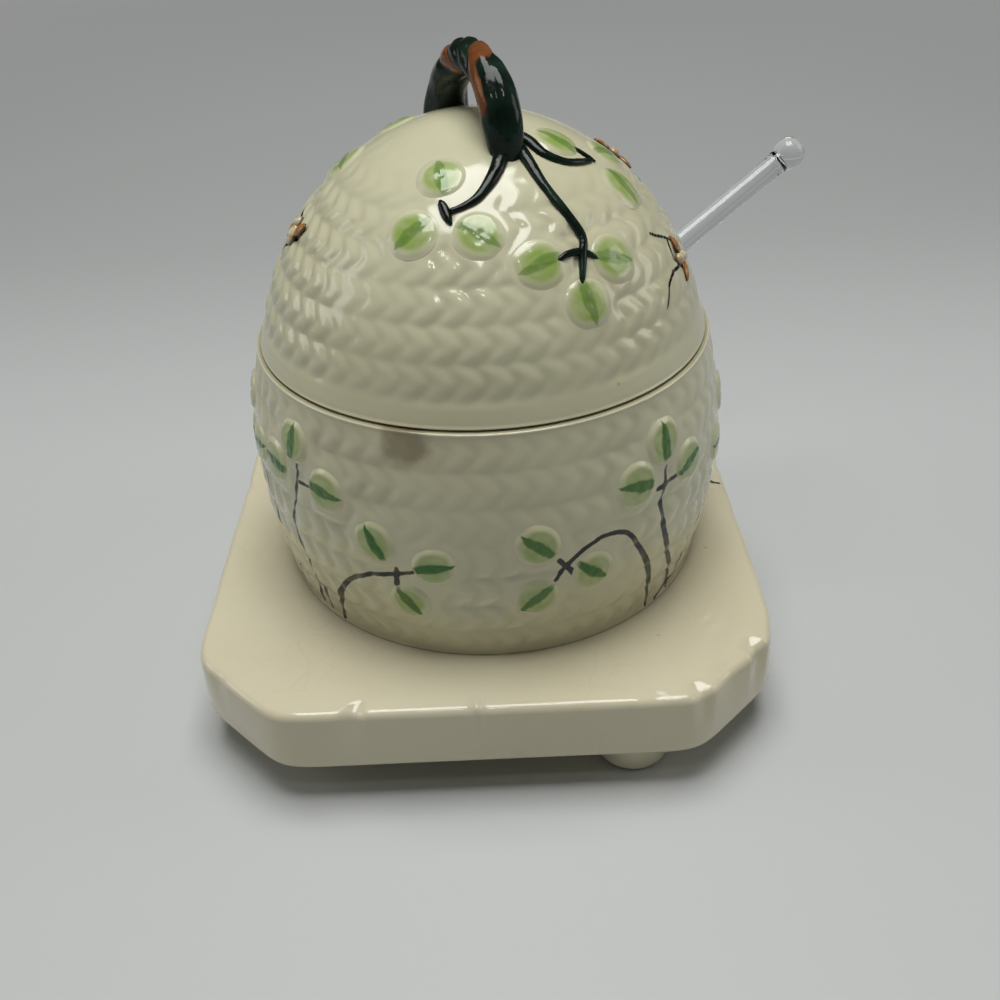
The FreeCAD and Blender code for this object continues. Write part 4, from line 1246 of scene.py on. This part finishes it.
class HONEYPOT_OT_dipper(PieceOperator, bpy.types.Operator):
    """Glass dipper drawn in one piece: bulb, rod and ball knob"""
    bl_idname = "honey_pot.dipper"
    bl_label = "Glass dipper"

    def execute(self, context):
        axis, knob = dipper_axis()
        bulb = sum(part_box("dipper_bulb"), Vector()) / 2
        span = (knob - bulb).length
        rod, ball, drop = ROD_RADIUS, BALL_RADIUS, BULB_RADIUS
        neck_low = math.sqrt(drop ** 2 - rod ** 2)
        neck_high = span - math.sqrt(ball ** 2 - rod ** 2)
        rings = [(0.0, -drop)]
        rings += rounded((0.0, 0.0), drop, POLE_GAP - 90, 90 - math.degrees(math.asin(rod / drop)), 22)
        rings += [(rod * (1 + 0.25 * math.exp(-(z - neck_low) / (1.0 * MM))), z)
                  for z in np.linspace(neck_low + 0.6 * MM, neck_low + 6 * MM, 8)]
        rings += [(rod, z) for z in np.linspace(neck_low + 10 * MM, neck_high - 8 * MM, 14)]
        rings += [(rod * (1 + 0.22 * math.exp(-(neck_high - z) / (0.9 * MM))), z)
                  for z in np.linspace(neck_high - 6 * MM, neck_high - 0.6 * MM, 8)]
        rings += rounded((0.0, span), ball, math.degrees(math.asin(rod / ball)) - 90, 90 - POLE_GAP, 22)
        rings.append((0.0, span + ball))
        obj, *_ = lathe("glass_dipper", rings, 64)
        across = Vector((0, 0, 1)).cross(axis).normalized()
        turn = Matrix((across, axis.cross(across), axis)).transposed().to_4x4()
        obj.data.transform(Matrix.Translation(bulb) @ turn)
        obj.data.materials.append(dipper_glass(self.finish))
        hand_over(obj, "dipper", ["dipper_rod", "dipper_knob", "dipper_bulb"])
        return {"FINISHED"}


class HONEYPOT_OT_stage(PieceOperator, bpy.types.Operator):
    """Pale floor, soft light and a camera at the photograph's angle"""
    bl_idname = "honey_pot.stage"
    bl_label = "Stage"

    def execute(self, context):
        scene = context.scene
        scene.view_settings.view_transform = "Standard"
        columns = 96
        turns = np.arange(columns) * FULL_TURN / columns
        ring = [(FLOOR_RADIUS * math.cos(turn), FLOOR_RADIUS * math.sin(turn), 0.0) for turn in turns]
        floor = new_piece("tabletop", ring, [tuple(range(columns))])
        floor.data.materials.append(floor_finish(self.finish))
        for name, (place, size, share) in LAMPS.items():
            self.light(name, place, size, self.shape.key_power * share)
        self.world(scene)
        self.camera(scene)
        return {"FINISHED"}

    def light(self, name, place, size, power):
        """A square soft lamp that points at the pot."""
        lamp = bpy.data.lights.new(name, "AREA")
        lamp.shape = "SQUARE"
        lamp.size = size
        lamp.energy = power
        obj = bpy.data.objects.new(name, lamp)
        obj.location = place
        aim = LAMP_AIM - Vector(place)
        obj.rotation_euler = aim.to_track_quat("-Z", "Y").to_euler()
        bpy.context.scene.collection.objects.link(obj)

    def world(self, scene):
        """A dim room that is paler where it is seen directly or through the glass."""
        world = bpy.data.worlds.new("studio")
        world.use_nodes = True
        world.node_tree.nodes.clear()
        graph = Graph(world.node_tree)
        path = graph.add("ShaderNodeLightPath", None, None, "Is Camera Ray")
        gloss = Value(graph, path.socket.node.outputs["Is Glossy Ray"])
        through = Value(graph, path.socket.node.outputs["Is Transmission Ray"])
        strength = 0.085 - gloss * 0.035 + path.math("MAXIMUM", through) * 0.26
        back = graph.add("ShaderNodeBackground", None,
                         {"Color": (0.88, 0.88, 0.88, 1.0), "Strength": strength})
        out = world.node_tree.nodes.new("ShaderNodeOutputWorld")
        world.node_tree.links.new(back.socket, out.inputs["Surface"])
        scene.world = world

    def camera(self, scene):
        """The photograph's place, tilt and roll."""
        lens = bpy.data.cameras.new("photo_camera")
        lens.sensor_fit = "HORIZONTAL"
        lens.sensor_width = 36.0
        lens.lens = CAMERA_LENS
        lens.clip_start = 0.01
        obj = bpy.data.objects.new("photo_camera", lens)
        rise, roll = CAMERA_RISE, CAMERA_ROLL
        back = Vector((0, -math.cos(rise), math.sin(rise)))
        right, up = Vector((1, 0, 0)), Vector((0, math.sin(rise), math.cos(rise)))
        leaned_right = right * math.cos(roll) + up * math.sin(roll)
        leaned_up = up * math.cos(roll) - right * math.sin(roll)
        turn = Matrix((leaned_right, leaned_up, back)).transposed().to_4x4()
        obj.matrix_world = Matrix.Translation(CAMERA_PLACE) @ turn
        scene.collection.objects.link(obj)
        scene.camera = obj


PIECES = (HONEYPOT_OT_stand, HONEYPOT_OT_hive_pot, HONEYPOT_OT_hive_lid, HONEYPOT_OT_clover_sprigs,
          HONEYPOT_OT_bees, HONEYPOT_OT_branch, HONEYPOT_OT_dipper, HONEYPOT_OT_stage)


class HONEYPOT_PT_panel(bpy.types.Panel):
    """Lists the honey pot's pieces, sizes and colours"""
    bl_idname = "HONEYPOT_PT_panel"
    bl_label = "Honey pot"
    bl_space_type = "VIEW_3D"
    bl_region_type = "UI"
    bl_category = "Honey pot"

    def draw(self, context):
        for piece in PIECES:
            self.layout.operator(piece.bl_idname)
        for group in (context.scene.honey_pot_shape, context.scene.honey_pot_finish):
            for name in group.__annotations__:
                self.layout.prop(group, name)


CLASSES = (HoneyPotShape, HoneyPotFinish, *PIECES, HONEYPOT_PT_panel)


def register():
    for cls in CLASSES:
        bpy.utils.register_class(cls)
    bpy.types.Scene.honey_pot_shape = PointerProperty(type=HoneyPotShape)
    bpy.types.Scene.honey_pot_finish = PointerProperty(type=HoneyPotFinish)


def unregister():
    del bpy.types.Scene.honey_pot_finish
    del bpy.types.Scene.honey_pot_shape
    for cls in reversed(CLASSES):
        bpy.utils.unregister_class(cls)


def main():
    register()
    bpy.ops.honey_pot.stand()
    bpy.ops.honey_pot.hive_pot()
    bpy.ops.honey_pot.hive_lid()
    bpy.ops.honey_pot.clover_sprigs()
    bpy.ops.honey_pot.bees()
    bpy.ops.honey_pot.branch()
    bpy.ops.honey_pot.dipper()
    bpy.ops.honey_pot.stage()


if __name__ == "__main__":
    main()
